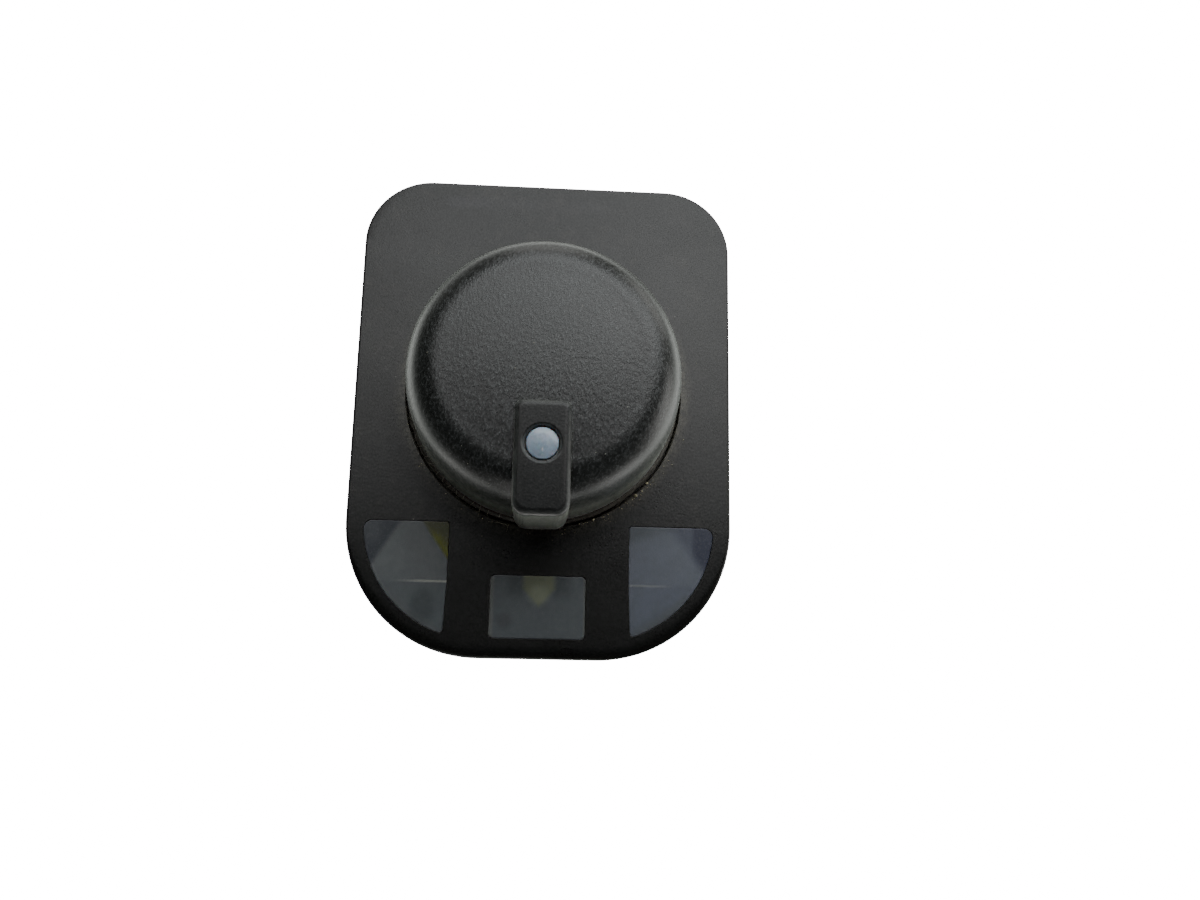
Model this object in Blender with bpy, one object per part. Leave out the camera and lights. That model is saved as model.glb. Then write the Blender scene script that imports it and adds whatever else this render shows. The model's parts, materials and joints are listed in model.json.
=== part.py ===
"""Panel-mounted rotary battery selector switch.

Round pointer knob with a lit dot, an upright faceplate with three lit
windows, and a clip-in housing with a pin connector at the rear.
Frame: +Z out of the face, +Y to the top of the faceplate, +X to the right,
origin at the middle of the flat rear face. Lengths below are millimetres.
"""
import math

import bmesh
import bpy

MM = 0.001

# ---- faceplate ---------------------------------------------------------
PLATE_W = 37.9
PLATE_H = 49.0
PLATE_R_TOP = 6.9
PLATE_R_BOTTOM = 13.2
PLATE_T = 2.4
FACE_Z = 30.0                      # front face of the plate
BACK_Z = FACE_Z - PLATE_T
EDGE_ROUND = 0.28
RECESS_R = 13.85                   # shallow well around the knob
RECESS_D = 1.0

# ---- windows -----------------------------------------------------------
SIDE_TOP_Y = -11.42
SIDE_IN_X = 8.82
SIDE_OUT_X = 17.15
SIDE_CREASE_Y = -17.26
SIDE_TAPER = 0.18                  # inner edge drifts outward below the crease
SIDE_ARC_R = 11.45
MID_X = 4.65
MID_TOP_Y = -16.5
MID_LOW_Y = -22.56
LENS_GAP = 0.10
LENS_SET = 0.05                    # lens face below the plate face
LENS_T = 2.2

# ---- knob --------------------------------------------------------------
AXIS_Y = 2.08
KNOB_R = 13.25
KNOB_LOW_Z = FACE_Z + 0.50
KNOB_WALL_Z = FACE_Z + 5.7
KNOB_SHOULDER = (4.1, 4.9)         # radial, axial
KNOB_CROWN_Z = FACE_Z + 11.0
KNOB_WALL_T = 1.6
BAR_W = 5.1
BAR_NEAR = 3.4
BAR_FAR = 14.2
BAR_TOP_Z = FACE_Z + 11.5
BAR_LOW_Z = FACE_Z + 1.0
BAR_ROUND = 0.55
DOT_Y = -7.8
DOT_R = 1.5
TURN = 35.0                        # degrees between positions

# ---- turning parts -----------------------------------------------------
SPINDLE_R = 3.0
FIT = 0.08                         # radial running clearance
WHEEL_R = 8.6
NOTCH_D = 0.95

# ---- housing -----------------------------------------------------------
HOUSING_INSET = 2.6
HOUSING_WALL = 1.4
HOUSING_TOP_Z = BACK_Z - 0.3
HOUSING_LOW_Z = 2.1
BOARD_Z0 = 10.8
BOARD_Z1 = 12.4
COLUMNS = [(12.5, 18.05), (-12.5, 18.05), (12.8, -8.2), (-12.8, -8.2)]
SHROUD_C = (0.0, 13.4)
SHROUD_W, SHROUD_H = 17.0, 11.0
SHROUD_WALL = 1.2
SHROUD_DEEP = 9.6
PIN_PITCH = 2.54
CLIP_Y = (0.4, 8.4)
HOOKS = [12.0, -3.6]


# ---- scene set-up ------------------------------------------------------
for ob in list(bpy.data.objects):
    bpy.data.objects.remove(ob, do_unlink=True)
for me in list(bpy.data.meshes):
    bpy.data.meshes.remove(me)

scene = bpy.context.scene


def empty(name, loc=(0, 0, 0)):
    ob = bpy.data.objects.new(name, None)
    ob.location = [v * MM for v in loc]
    ob.empty_display_size = 0.01
    scene.collection.objects.link(ob)
    return ob


BASE = empty("base_frame")
AXIS = empty("knob_axis", (0, AXIS_Y, 0))
bpy.context.view_layer.update()

MATS = {}


def material(name, color, rough, metal=0.0, transmission=0.0):
    m = bpy.data.materials.new(name)
    m.use_nodes = True
    p = m.node_tree.nodes["Principled BSDF"]
    p.inputs["Base Color"].default_value = (*color, 1.0)
    p.inputs["Roughness"].default_value = rough
    p.inputs["Metallic"].default_value = metal
    p.inputs["Transmission Weight"].default_value = transmission
    m.diffuse_color = (*color, 1.0)
    MATS[name] = m
    return m


material("plate_plastic", (0.052, 0.054, 0.056), 0.62)
material("knob_plastic", (0.058, 0.060, 0.060), 0.55)
material("ring_plastic", (0.045, 0.047, 0.048), 0.45)
material("lens_smoke", (0.30, 0.33, 0.36), 0.35, 0.0, 0.3)
material("light_pipe_clear", (0.72, 0.80, 0.88), 0.25, 0.0, 0.4)
material("housing_plastic", (0.030, 0.030, 0.032), 0.6)
material("cover_plastic", (0.035, 0.035, 0.037), 0.6)
material("connector_plastic", (0.040, 0.040, 0.042), 0.5)
material("light_box_white", (0.80, 0.80, 0.78), 0.6)
material("gasket_rubber", (0.020, 0.020, 0.020), 0.85)
material("seal_rubber", (0.015, 0.015, 0.015), 0.5)
material("spring_steel", (0.55, 0.55, 0.56), 0.35, 1.0)
material("spindle_steel", (0.60, 0.60, 0.61), 0.3, 1.0)
material("screw_steel", (0.50, 0.50, 0.52), 0.35, 1.0)
material("bush_brass", (0.72, 0.55, 0.25), 0.35, 1.0)
material("terminal_tin", (0.75, 0.74, 0.70), 0.3, 1.0)
material("contact_copper", (0.80, 0.48, 0.30), 0.35, 1.0)
material("detent_acetal", (0.75, 0.74, 0.70), 0.5)
material("rotor_acetal", (0.68, 0.67, 0.62), 0.5)
material("board_green", (0.03, 0.16, 0.06), 0.4)
material("led_body", (0.78, 0.76, 0.62), 0.4)
material("resistor_body", (0.04, 0.04, 0.045), 0.4)


# ---- mesh helpers ------------------------------------------------------
def solid(name, verts, faces, mat=None, parent=None, smooth=None):
    me = bpy.data.meshes.new(name)
    me.from_pydata([[c * MM for c in v] for v in verts], [], faces)
    bm = bmesh.new()
    bm.from_mesh(me)
    bmesh.ops.recalc_face_normals(bm, faces=bm.faces)
    bm.to_mesh(me)
    bm.free()
    me.update()
    ob = bpy.data.objects.new(name, me)
    scene.collection.objects.link(ob)
    ob.parent = parent or BASE
    if mat:
        me.materials.append(MATS[mat])
    if smooth:
        me.shade_smooth()
        me.set_sharp_from_angle(angle=math.radians(smooth))
    bpy.context.view_layer.update()
    return ob


def lathe(name, profile, segs, mat=None, parent=None, centre=(0, 0), smooth=35):
    """Closed (r, z) profile turned about Z; points with r = 0 close on the axis."""
    verts, rows = [], []
    for r, z in profile:
        if r < 1e-6:
            rows.append([len(verts)] * segs)
            verts.append((centre[0], centre[1], z))
        else:
            row = []
            for k in range(segs):
                a = 2 * math.pi * k / segs
                row.append(len(verts))
                verts.append((centre[0] + r * math.cos(a), centre[1] + r * math.sin(a), z))
            rows.append(row)
    faces = []
    n = len(rows)
    for i in range(n):
        a, b = rows[i], rows[(i + 1) % n]
        if a[0] == a[1] and b[0] == b[1]:
            continue
        for k in range(segs):
            q = [a[k], a[(k + 1) % segs], b[(k + 1) % segs], b[k]]
            q = [v for j, v in enumerate(q) if v not in q[:j]]
            faces.append(q)
    return solid(name, verts, faces, mat, parent, smooth)


def prism(name, pts, lo, hi, mat=None, parent=None, axis="Z", smooth=None):
    """Closed outline extruded from lo to hi along an axis."""
    place = {
        "Z": lambda p, h: (p[0], p[1], h),
        "Y": lambda p, h: (p[0], h, p[1]),
        "X": lambda p, h: (h, p[0], p[1]),
    }[axis]
    n = len(pts)
    verts = [place(p, lo) for p in pts] + [place(p, hi) for p in pts]
    faces = [list(range(n))[::-1], list(range(n, 2 * n))]
    faces += [[i, (i + 1) % n, n + (i + 1) % n, n + i] for i in range(n)]
    return solid(name, verts, faces, mat, parent, smooth)


def tube(name, outer, inner, levels, mat=None, parent=None, smooth=None):
    """Ring between two outlines with the same number of points, z from levels."""
    n = len(outer)
    z0, z1 = levels
    verts = []
    for pts, z in ((outer, z0), (outer, z1), (inner, z1), (inner, z0)):
        verts += [(p[0], p[1], z) for p in pts]
    faces = []
    for ring in range(4):
        a, b = ring * n, ((ring + 1) % 4) * n
        faces += [[a + i, a + (i + 1) % n, b + (i + 1) % n, b + i] for i in range(n)]
    return solid(name, verts, faces, mat, parent, smooth)


def box(name, x, y, z, mat=None, parent=None, bevel=0.0, segs=2):
    ob = prism(name, [(x[0], y[0]), (x[1], y[0]), (x[1], y[1]), (x[0], y[1])], z[0], z[1], mat, parent)
    if bevel:
        bm = bmesh.new()
        bm.from_mesh(ob.data)
        bmesh.ops.bevel(bm, geom=list(bm.edges), offset=bevel * MM, segments=segs, profile=0.5, affect="EDGES")
        bmesh.ops.recalc_face_normals(bm, faces=bm.faces)
        bm.to_mesh(ob.data)
        bm.free()
    return ob


def cyl(name, c, r, z, segs=24, mat=None, parent=None, smooth=35):
    return lathe(name, [(0, z[0]), (r, z[0]), (r, z[1]), (0, z[1])], segs, mat, parent, c, smooth)


def combine(ob, tools, op="DIFFERENCE", smooth=None):
    """Boolean each tool into ob, then clear the tools away."""
    for tool in tools if isinstance(tools, (list, tuple)) else [tools]:
        mod = ob.modifiers.new("join", "BOOLEAN")
        mod.operation = op
        mod.solver = "EXACT"
        mod.object = tool
        bpy.context.view_layer.update()
        dg = bpy.context.evaluated_depsgraph_get()
        me = bpy.data.meshes.new_from_object(ob.evaluated_get(dg))
        ob.modifiers.remove(mod)
        old, ob.data = ob.data, me
        keep = [m for m in old.materials if m] or []
        me.materials.clear()
        for m in keep[:1]:
            me.materials.append(m)
        for p in me.polygons:
            p.material_index = 0
        bpy.data.meshes.remove(old)
        bpy.data.objects.remove(tool, do_unlink=True)
    if smooth:
        ob.data.shade_smooth()
        ob.data.set_sharp_from_angle(angle=math.radians(smooth))
    ob.data.name = ob.name
    bpy.context.view_layer.update()
    return ob


def arc(cx, cy, r, a0, a1, n):
    return [
        (cx + r * math.cos(math.radians(a0 + (a1 - a0) * i / n)), cy + r * math.sin(math.radians(a0 + (a1 - a0) * i / n)))
        for i in range(n + 1)
    ]


def outline(inset, n_top=7, n_low=12):
    """Faceplate outline moved inward, counter-clockwise from the lower right."""
    w, h = PLATE_W / 2, PLATE_H / 2
    rt, rb = PLATE_R_TOP, PLATE_R_BOTTOM
    p = arc(w - rb, -h + rb, rb - inset, -90, 0, n_low)
    p += arc(w - rt, h - rt, rt - inset, 0, 90, n_top)
    p += arc(-w + rt, h - rt, rt - inset, 90, 180, n_top)
    p += arc(-w + rb, -h + rb, rb - inset, 180, 270, n_low)
    return p


def mirrored(pts, side):
    return pts if side > 0 else [(-x, y) for x, y in pts][::-1]


def side_window(inset, side):
    """Outline of a side window: straight top and inner edge, outer edge along the corner."""
    cx, cy = PLATE_W / 2 - PLATE_R_BOTTOM, -PLATE_H / 2 + PLATE_R_BOTTOM
    r = SIDE_ARC_R - inset
    top, inn, out = SIDE_TOP_Y - inset, SIDE_IN_X + inset, SIDE_OUT_X - inset
    cr = 0.9 - inset
    pts = [(inn, top - 0.3), (inn + 0.3, top)][::-1]
    low_x = inn + SIDE_TAPER + 0.35
    a_low = math.degrees(math.acos((low_x - cx) / r))
    a_top = math.degrees(math.asin(min(0.0, (top - cr) - cy) / r))
    p = [(out - cr, top)]
    p += pts
    p += [(inn, SIDE_CREASE_Y)]
    low_y = cy - r * math.sin(math.radians(a_low))
    p += [(inn + SIDE_TAPER * 0.95, low_y + 0.35), (inn + SIDE_TAPER + 0.08, low_y + 0.10)]
    p += arc(cx, cy, r, -a_low, a_top, 10)
    x0, y0 = p[-1]
    p += [(out - cr * 0.29 - (out - x0) * 0.7, top - cr * 0.29)]
    return mirrored(p, side)


def mid_window(inset):
    x, t, b, r = MID_X - inset, MID_TOP_Y - inset, MID_LOW_Y + inset, 0.5 - inset
    p = arc(x - r, b + r, r, -90, 0, 3) + arc(x - r, t - r, r, 0, 90, 3)
    p += arc(-x + r, t - r, r, 90, 180, 3) + arc(-x + r, b + r, r, 180, 270, 3)
    return p


def ribbon(path, t):
    """Outline of a strip of thickness t along an open path."""
    left, right = [], []
    n = len(path)
    for i, (x, y) in enumerate(path):
        x0, y0 = path[max(i - 1, 0)]
        x1, y1 = path[min(i + 1, n - 1)]
        d = math.hypot(x1 - x0, y1 - y0)
        nx, ny = -(y1 - y0) / d, (x1 - x0) / d
        left.append((x + nx * t / 2, y + ny * t / 2))
        right.append((x - nx * t / 2, y - ny * t / 2))
    return left + right[::-1]


def grid_face_cut(ob, y, z_drop, y_end):
    """Slope the front face back below y, reaching z_drop at y_end."""
    me = ob.data
    top = max(v.co.z for v in me.vertices)
    for v in me.vertices:
        if v.co.z > top - 1e-7 and v.co.y < y * MM:
            f = (y * MM - v.co.y) / ((y - y_end) * MM)
            v.co.z -= z_drop * MM * f


# ---- faceplate ---------------------------------------------------------
levels = [(BACK_Z, 0.0), (FACE_Z - EDGE_ROUND, 0.0), (FACE_Z - EDGE_ROUND * 0.3, EDGE_ROUND * 0.3), (FACE_Z, EDGE_ROUND)]
rings = [outline(i) for _, i in levels]
n = len(rings[0])
verts = [(p[0], p[1], z) for (z, _), ring in zip(levels, rings) for p in ring]
faces = [list(range(n))[::-1], list(range((len(levels) - 1) * n, len(levels) * n))]
for k in range(len(levels) - 1):
    faces += [[k * n + i, k * n + (i + 1) % n, (k + 1) * n + (i + 1) % n, (k + 1) * n + i] for i in range(n)]
plate = solid("faceplate", verts, faces, "plate_plastic")

inner_x = PLATE_W / 2 - HOUSING_INSET - HOUSING_WALL
adds = [cyl("t", (0, AXIS_Y), 5.9, (20.6, BACK_Z + 0.5), 32)]
for side in (1, -1):
    for y in HOOKS:
        leg = [
            (side * (inner_x - 1.45), 21.6),
            (side * (inner_x + 0.95), 22.5),
            (side * (inner_x + 0.95), 23.0),
            (side * (inner_x - 0.30), 23.0),
            (side * (inner_x - 0.30), BACK_Z + 0.5),
            (side * (inner_x - 1.45), BACK_Z + 0.5),
        ]
        adds.append(prism("t", leg, y - 1.6, y + 1.6, axis="Y"))
combine(plate, adds, "UNION")
cuts = [
    cyl("t", (0, AXIS_Y), RECESS_R, (FACE_Z - RECESS_D, FACE_Z + 1), 72),
    cyl("t", (0, AXIS_Y), 4.6, (15, FACE_Z + 1), 32),
]
slot = [(x, y + AXIS_Y) for x, y in arc(0, 0, 9.35, -90 - 52, -90 + 52, 18) + arc(0, 0, 6.3, -90 + 52, -90 - 52, 18)]
cuts.append(prism("t", slot, BACK_Z - 1, FACE_Z + 1))
for side in (1, -1):
    cuts.append(prism("t", side_window(0.0, side), BACK_Z - 1, FACE_Z + 1))
cuts.append(prism("t", mid_window(0.0), BACK_Z - 1, FACE_Z + 1))
combine(plate, cuts, "DIFFERENCE", smooth=35)

# ---- window lenses: window block in front, light guide stem behind -----
for name, pts, stem in (
    ("window_lens_left", side_window(LENS_GAP, -1), ((-13.6, -9.2), (-18.3, -12.3))),
    ("window_lens_center", mid_window(LENS_GAP), ((-4.1, 4.1), (-18.7, -17.1))),
    ("window_lens_right", side_window(LENS_GAP, 1), ((9.2, 13.6), (-18.3, -12.3))),
):
    lens = prism(name, pts, FACE_Z - LENS_SET - LENS_T, FACE_Z - LENS_SET, "lens_smoke")
    guide = box("t", stem[0], stem[1], (21.0, FACE_Z - LENS_SET - LENS_T * 0.5))
    combine(guide, prism("k", outline(HOUSING_INSET + HOUSING_WALL + 1.75), 10, 40), "INTERSECT")
    combine(lens, guide, "UNION", smooth=35)

# ---- gasket under the flange ------------------------------------------
tube("flange_gasket", outline(0.5), outline(HOUSING_INSET - 0.25), (BACK_Z - 0.95, BACK_Z - 0.2), "gasket_rubber", smooth=35)

# ---- housing tub -------------------------------------------------------
housing = tube(
    "housing", outline(HOUSING_INSET), outline(HOUSING_INSET + HOUSING_WALL), (HOUSING_LOW_Z, HOUSING_TOP_Z), "housing_plastic"
)
adds = [cyl("t", c, 2.4, (BOARD_Z1 + 0.3, 25.6), 14) for c in COLUMNS]
for side in (1, -1):
    x = sorted((side * 9.2, side * 10.8))
    adds.append(box("t", x, (12.5, PLATE_H / 2 - HOUSING_INSET - HOUSING_WALL + 0.4), (14.8, 19.0)))
    ox = PLATE_W / 2 - HOUSING_INSET
    for y in ((CLIP_Y[0] - 1.2, CLIP_Y[0] - 0.2), (CLIP_Y[1] + 0.2, CLIP_Y[1] + 1.2)):
        adds.append(box("t", sorted((side * (ox - 0.5), side * (ox + 1.2))), y, (4.0, 13.0)))
combine(housing, adds, "UNION")
cuts = [cyl("t", c, 1.08, (BOARD_Z1 - 1, 20.5), 10) for c in COLUMNS]
for side in (1, -1):
    x = sorted((side * 9.0, side * 10.1))
    cuts.append(box("t", x, (13.1, 13.9), (15.2, 20.0)))
    for y in HOOKS:
        cuts.append(box("t", sorted((side * (inner_x - 1.0), side * (inner_x + 3.0))), (y - 1.9, y + 1.9), (21.2, 23.3)))
combine(housing, cuts, "DIFFERENCE", smooth=35)

# ---- panel clips: bent spring strips on both sides ---------------------
ox = PLATE_W / 2 - HOUSING_INSET
clip_path = [(ox + 0.45, 4.4), (ox + 0.45, 12.6), (ox + 0.75, 14.5), (ox + 1.95, 21.2), (ox + 2.05, 21.9), (ox + 1.85, 22.5), (ox + 0.60, 25.0)]
for side, name in ((-1, "panel_clip_left"), (1, "panel_clip_right")):
    pts = ribbon([(side * x, z) for x, z in clip_path], 0.4)
    prism(name, pts, CLIP_Y[0], CLIP_Y[1], "spring_steel", axis="Y")

# ---- rear cover with standoffs and connector opening -------------------
cover = prism("rear_cover", outline(HOUSING_INSET), 0.0, 1.8, "cover_plastic")
lip = tube("t", outline(HOUSING_INSET + HOUSING_WALL + 0.25), outline(HOUSING_INSET + HOUSING_WALL + 1.25), (1.5, 4.4))
adds = [lip] + [cyl("t", c, 1.95, (1.5, BOARD_Z0 - 0.2), 14) for c in COLUMNS]
combine(cover, adds, "UNION")
sx, sy = SHROUD_W / 2, SHROUD_H / 2
cuts = [box("t", (-sx - 0.25, sx + 0.25), (SHROUD_C[1] - sy - 0.25, SHROUD_C[1] + sy + 0.25), (-1, 8))]
cuts += [cyl("t", c, 1.18, (-1, BOARD_Z0 + 1), 10) for c in COLUMNS]
cuts += [cyl("t", c, 2.2, (-1, 1.3), 16) for c in COLUMNS]
combine(cover, cuts, "DIFFERENCE", smooth=35)

# ---- connector shroud --------------------------------------------------
shroud = box("connector_shroud", (-sx, sx), (SHROUD_C[1] - sy, SHROUD_C[1] + sy), (0.0, SHROUD_DEEP + 0.9), "connector_plastic", bevel=0.3, segs=1)
wall = SHROUD_WALL
pins = [(SHROUD_C[0] + i * PIN_PITCH, SHROUD_C[1] + j * PIN_PITCH / 2) for j in (1, -1) for i in (-1, 0, 1)]
cuts = [box("t", (-sx + wall, sx - wall), (SHROUD_C[1] - sy + wall, SHROUD_C[1] + sy - wall), (-1, SHROUD_DEEP))]
cuts.append(box("t", (-3.0, 3.0), (SHROUD_C[1] - sy + 0.6, SHROUD_C[1]), (-1, 6.0)))
cuts += [cyl("t", p, 0.6, (SHROUD_DEEP - 1, SHROUD_DEEP + 2), 8) for p in pins]
combine(shroud, cuts, "DIFFERENCE", smooth=35)
for i, (x, y) in enumerate(pins):
    h = 0.32
    ob = box("terminal_pin_%d" % (i + 1), (x - h, x + h), (y - h, y + h), (4.6, BOARD_Z1 + 0.7), "terminal_tin", bevel=0.12, segs=1)

# ---- circuit board -----------------------------------------------------
board = prism("circuit_board", outline(HOUSING_INSET + HOUSING_WALL + 0.4, 5, 8), BOARD_Z0, BOARD_Z1, "board_green")
cuts = [cyl("t", p, 0.52, (BOARD_Z0 - 1, BOARD_Z1 + 1), 8) for p in pins]
cuts += [cyl("t", c, 1.28, (BOARD_Z0 - 1, BOARD_Z1 + 1), 10) for c in COLUMNS]
combine(board, cuts, "DIFFERENCE")

PAD_Z = (BOARD_Z1 + 0.1, BOARD_Z1 + 0.25)
pts = arc(0, AXIS_Y, 5.0, -250, 70, 30) + arc(0, AXIS_Y, 3.7, 70, -250, 30)
prism("common_track", pts, PAD_Z[0], PAD_Z[1], "contact_copper")
for name, turn in (("position_pad_left", -TURN), ("position_pad_center", 0.0), ("position_pad_right", TURN)):
    a = -90 + turn
    pts = arc(0, AXIS_Y, 7.1, a - 14, a + 14, 8) + arc(0, AXIS_Y, 5.7, a + 14, a - 14, 8)
    prism(name, pts, PAD_Z[0], PAD_Z[1], "contact_copper")

LED_SPOTS = {"led_left": (-10.7, -13.5), "led_center": (0.0, -15.6), "led_right": (10.7, -13.5), "led_pointer": (0.0, -8.5)}
for name, (x, y) in LED_SPOTS.items():
    led = box(name, (x - 1.6, x + 1.6), (y - 1.0, y + 1.0), (BOARD_Z1 + 0.1, BOARD_Z1 + 1.5), "led_body", bevel=0.12, segs=1)
    combine(led, cyl("t", (x, y), 0.8, (BOARD_Z1 + 1.2, BOARD_Z1 + 3), 12), "DIFFERENCE")
for name, x in (("resistor_left", -6.0), ("resistor_center", 0.0), ("resistor_right", 6.0)):
    box(name, (x - 1.6, x + 1.6), (-9.3, -7.7), (BOARD_Z0 - 0.7, BOARD_Z0 - 0.1), "resistor_body", bevel=0.12, segs=1)

# ---- white light box under the windows ---------------------------------
BOX_TOP_Y = -10.7
ins = HOUSING_INSET + HOUSING_WALL + 0.3


def below(pts, y):
    """Part of a closed outline under a level line."""
    out = []
    for i, (x0, y0) in enumerate(pts):
        x1, y1 = pts[(i + 1) % len(pts)]
        if y0 <= y:
            out.append((x0, y0))
        if (y0 - y) * (y1 - y) < 0:
            t = (y - y0) / (y1 - y0)
            out.append((x0 + t * (x1 - x0), y))
    return out


light_box = prism("light_box", below(outline(ins), BOX_TOP_Y), BOARD_Z1 + 0.4, BACK_Z - 0.3, "light_box_white")
cell = below(outline(ins + 1.1), BOX_TOP_Y - 1.0)
cuts = []
for side in (1, -1):
    t = prism("t", cell, 5, 40)
    keep = box("k", sorted((side * 8.7, side * 20)), (-30, -5), (4, 41))
    combine(t, keep, "INTERSECT")
    cuts.append(t)
t = prism("t", cell, 5, 40)
combine(t, box("k", (-4.7, 4.7), (-30, -5), (4, 41)), "INTERSECT")
cuts.append(t)
combine(light_box, cuts, "DIFFERENCE")

# ---- fixed light guide for the pointer ---------------------------------
pts = [(x, y + AXIS_Y) for x, y in arc(0, 0, 9.15, -140, -40, 16) + arc(0, 0, 6.5, -40, -140, 16)]
guide = prism("pointer_light_guide", pts, 24.4, FACE_Z + 0.2, "light_pipe_clear")
adds = [
    box("t", (-2.6, 2.6), (-9.5, -5.6), (24.4, 26.0)),
    box("t", (-2.6, 2.6), (-9.5, -7.6), (14.4, 25.0)),
]
combine(guide, adds, "UNION", smooth=35)

# ---- shaft bush --------------------------------------------------------
bore = SPINDLE_R + FIT
lathe(
    "shaft_bush",
    [(bore, 20.3), (4.5, 20.3), (4.5, FACE_Z - RECESS_D + 0.1), (5.6, FACE_Z - RECESS_D + 0.1), (5.6, FACE_Z - 0.35), (bore, FACE_Z - 0.35)],
    32,
    "bush_brass",
    centre=(0, AXIS_Y),
)

# ---- detent leaf spring ------------------------------------------------
nose_y = AXIS_Y + WHEEL_R - NOTCH_D + 0.25
leaf = [(-9.9, 13.5), (-8.2, 13.4), (-5.0, 12.9), (-2.6, 12.2), (-1.5, 11.75), (-0.95, 11.1), (-0.5, nose_y + 0.28), (0, nose_y + 0.15)]
leaf = leaf + [(-x, y) for x, y in leaf[-2::-1]]
prism("detent_leaf_spring", ribbon(leaf, 0.3), 15.7, 18.0, "spring_steel")

# ---- turning parts, about the knob axis --------------------------------
crown = [(0.0, KNOB_CROWN_Z), (4.5, KNOB_CROWN_Z - 0.09)]
sr, sz = KNOB_SHOULDER
shoulder = []
for i in range(8):
    a = math.radians(90 * i / 7)
    shoulder.append((KNOB_R - sr + sr * math.sin(a), KNOB_WALL_Z + sz * math.cos(a)))
inner_r = KNOB_R - KNOB_WALL_T
top_in = KNOB_CROWN_Z - 2.0
profile = crown + shoulder + [
    (KNOB_R + 0.08, KNOB_LOW_Z + 0.25),
    (KNOB_R - 0.12, KNOB_LOW_Z),
    (inner_r, KNOB_LOW_Z),
    (inner_r, KNOB_WALL_Z - 0.4),
    (inner_r - 0.9, KNOB_WALL_Z + 2.0),
    (inner_r - 3.2, top_in - 0.5),
    (4.7, top_in),
    (4.7, KNOB_LOW_Z + 0.8),
    (SPINDLE_R + FIT, KNOB_LOW_Z + 0.8),
    (SPINDLE_R + FIT, top_in - 0.8),
    (0.0, top_in - 0.8),
]
knob = lathe("knob", profile, 48, "knob_plastic", AXIS)
bar = box("t", (-BAR_W / 2, BAR_W / 2), (-BAR_FAR, -BAR_NEAR), (BAR_LOW_Z, BAR_TOP_Z), parent=AXIS, bevel=BAR_ROUND, segs=3)
room = cyl("t", (0, 0), inner_r - 0.05, (KNOB_LOW_Z - 1, KNOB_WALL_Z - 0.3), 48, parent=AXIS)
combine(bar, room, "DIFFERENCE")
inner_cut = lathe("t", [(0, KNOB_WALL_Z - 0.5), (inner_r - 0.05, KNOB_WALL_Z - 0.5), (inner_r - 0.95, KNOB_WALL_Z + 2.0), (inner_r - 3.2, top_in - 0.6), (0, top_in - 0.6)], 48, parent=AXIS)
combine(bar, inner_cut, "DIFFERENCE")
tube_boss = cyl("t", (0, DOT_Y), 2.4, (KNOB_LOW_Z + 0.8, KNOB_CROWN_Z - 0.8), 16, parent=AXIS)
combine(knob, [tube_boss, bar], "UNION")
well = lathe("t", [(0, KNOB_LOW_Z - 1), (DOT_R + 0.06, KNOB_LOW_Z - 1), (DOT_R + 0.06, BAR_TOP_Z - 0.42), (DOT_R + 0.30, BAR_TOP_Z + 0.02), (DOT_R + 0.30, BAR_TOP_Z + 1), (0, BAR_TOP_Z + 1)], 24, parent=AXIS, centre=(0, DOT_Y))
combine(knob, well, "DIFFERENCE", smooth=35)

lathe(
    "pointer_light_pipe",
    [(0, FACE_Z + 0.55), (DOT_R - 0.02, FACE_Z + 0.55), (DOT_R - 0.02, BAR_TOP_Z - 0.38), (DOT_R * 0.9, BAR_TOP_Z - 0.24), (DOT_R * 0.62, BAR_TOP_Z - 0.12), (0, BAR_TOP_Z - 0.06)],
    24,
    "light_pipe_clear",
    AXIS,
    (0, DOT_Y),
    50,
)

ring = lathe(
    "knob_base_ring",
    [(11.3, FACE_Z - 0.55), (13.62, FACE_Z - 0.55), (13.62, FACE_Z + 0.12), (13.40, FACE_Z + 0.32), (11.3, FACE_Z + 0.32)],
    48,
    "ring_plastic",
    AXIS,
)

spindle = lathe(
    "spindle",
    [
        (0, 13.9), (2.7, 13.9), (SPINDLE_R, 14.2), (SPINDLE_R, 18.5), (2.35, 18.5), (2.35, 19.4), (SPINDLE_R, 19.4),
        (SPINDLE_R, 27.6), (2.2, 27.6), (2.2, 28.6), (SPINDLE_R, 28.6), (SPINDLE_R, 37.4), (2.6, 37.8), (0, 37.8),
    ],
    32,
    "spindle_steel",
    AXIS,
)
combine(spindle, box("t", (-4, 4), (2.05, 5), (FACE_Z + 2.0, 40), parent=AXIS), "DIFFERENCE", smooth=35)
box("knob_spring_insert", (-1.5, 1.5), (2.15, 2.55), (FACE_Z + 2.2, 37.4), "spring_steel", AXIS, bevel=0.08, segs=1)

minor, major = 0.36, 2.62
lathe("shaft_o_ring", [(major + minor * math.cos(2 * math.pi * k / 10), 28.1 + minor * math.sin(2 * math.pi * k / 10)) for k in range(8)], 20, "seal_rubber", AXIS, smooth=80)

# wave washer
verts, faces, N = [], [], 24
for k in range(N):
    a = 2 * math.pi * k / N
    z = 19.82 + 0.14 * math.sin(3 * a)
    for r, dz in ((SPINDLE_R + 0.12, -0.1), (5.2, -0.1), (5.2, 0.1), (SPINDLE_R + 0.12, 0.1)):
        verts.append((r * math.cos(a), r * math.sin(a), z + dz))
for k in range(N):
    j = (k + 1) % N
    for c in range(4):
        d = (c + 1) % 4
        faces.append([k * 4 + c, j * 4 + c, j * 4 + d, k * 4 + d])
solid("wave_washer", verts, faces, "spring_steel", AXIS, 35)

pts = arc(0, 0, 4.6, 130, 410, 18) + arc(0, 0, 2.45, 410, 130, 18)
prism("shaft_circlip", pts, 18.7, 19.25, "spring_steel", AXIS)

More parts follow.
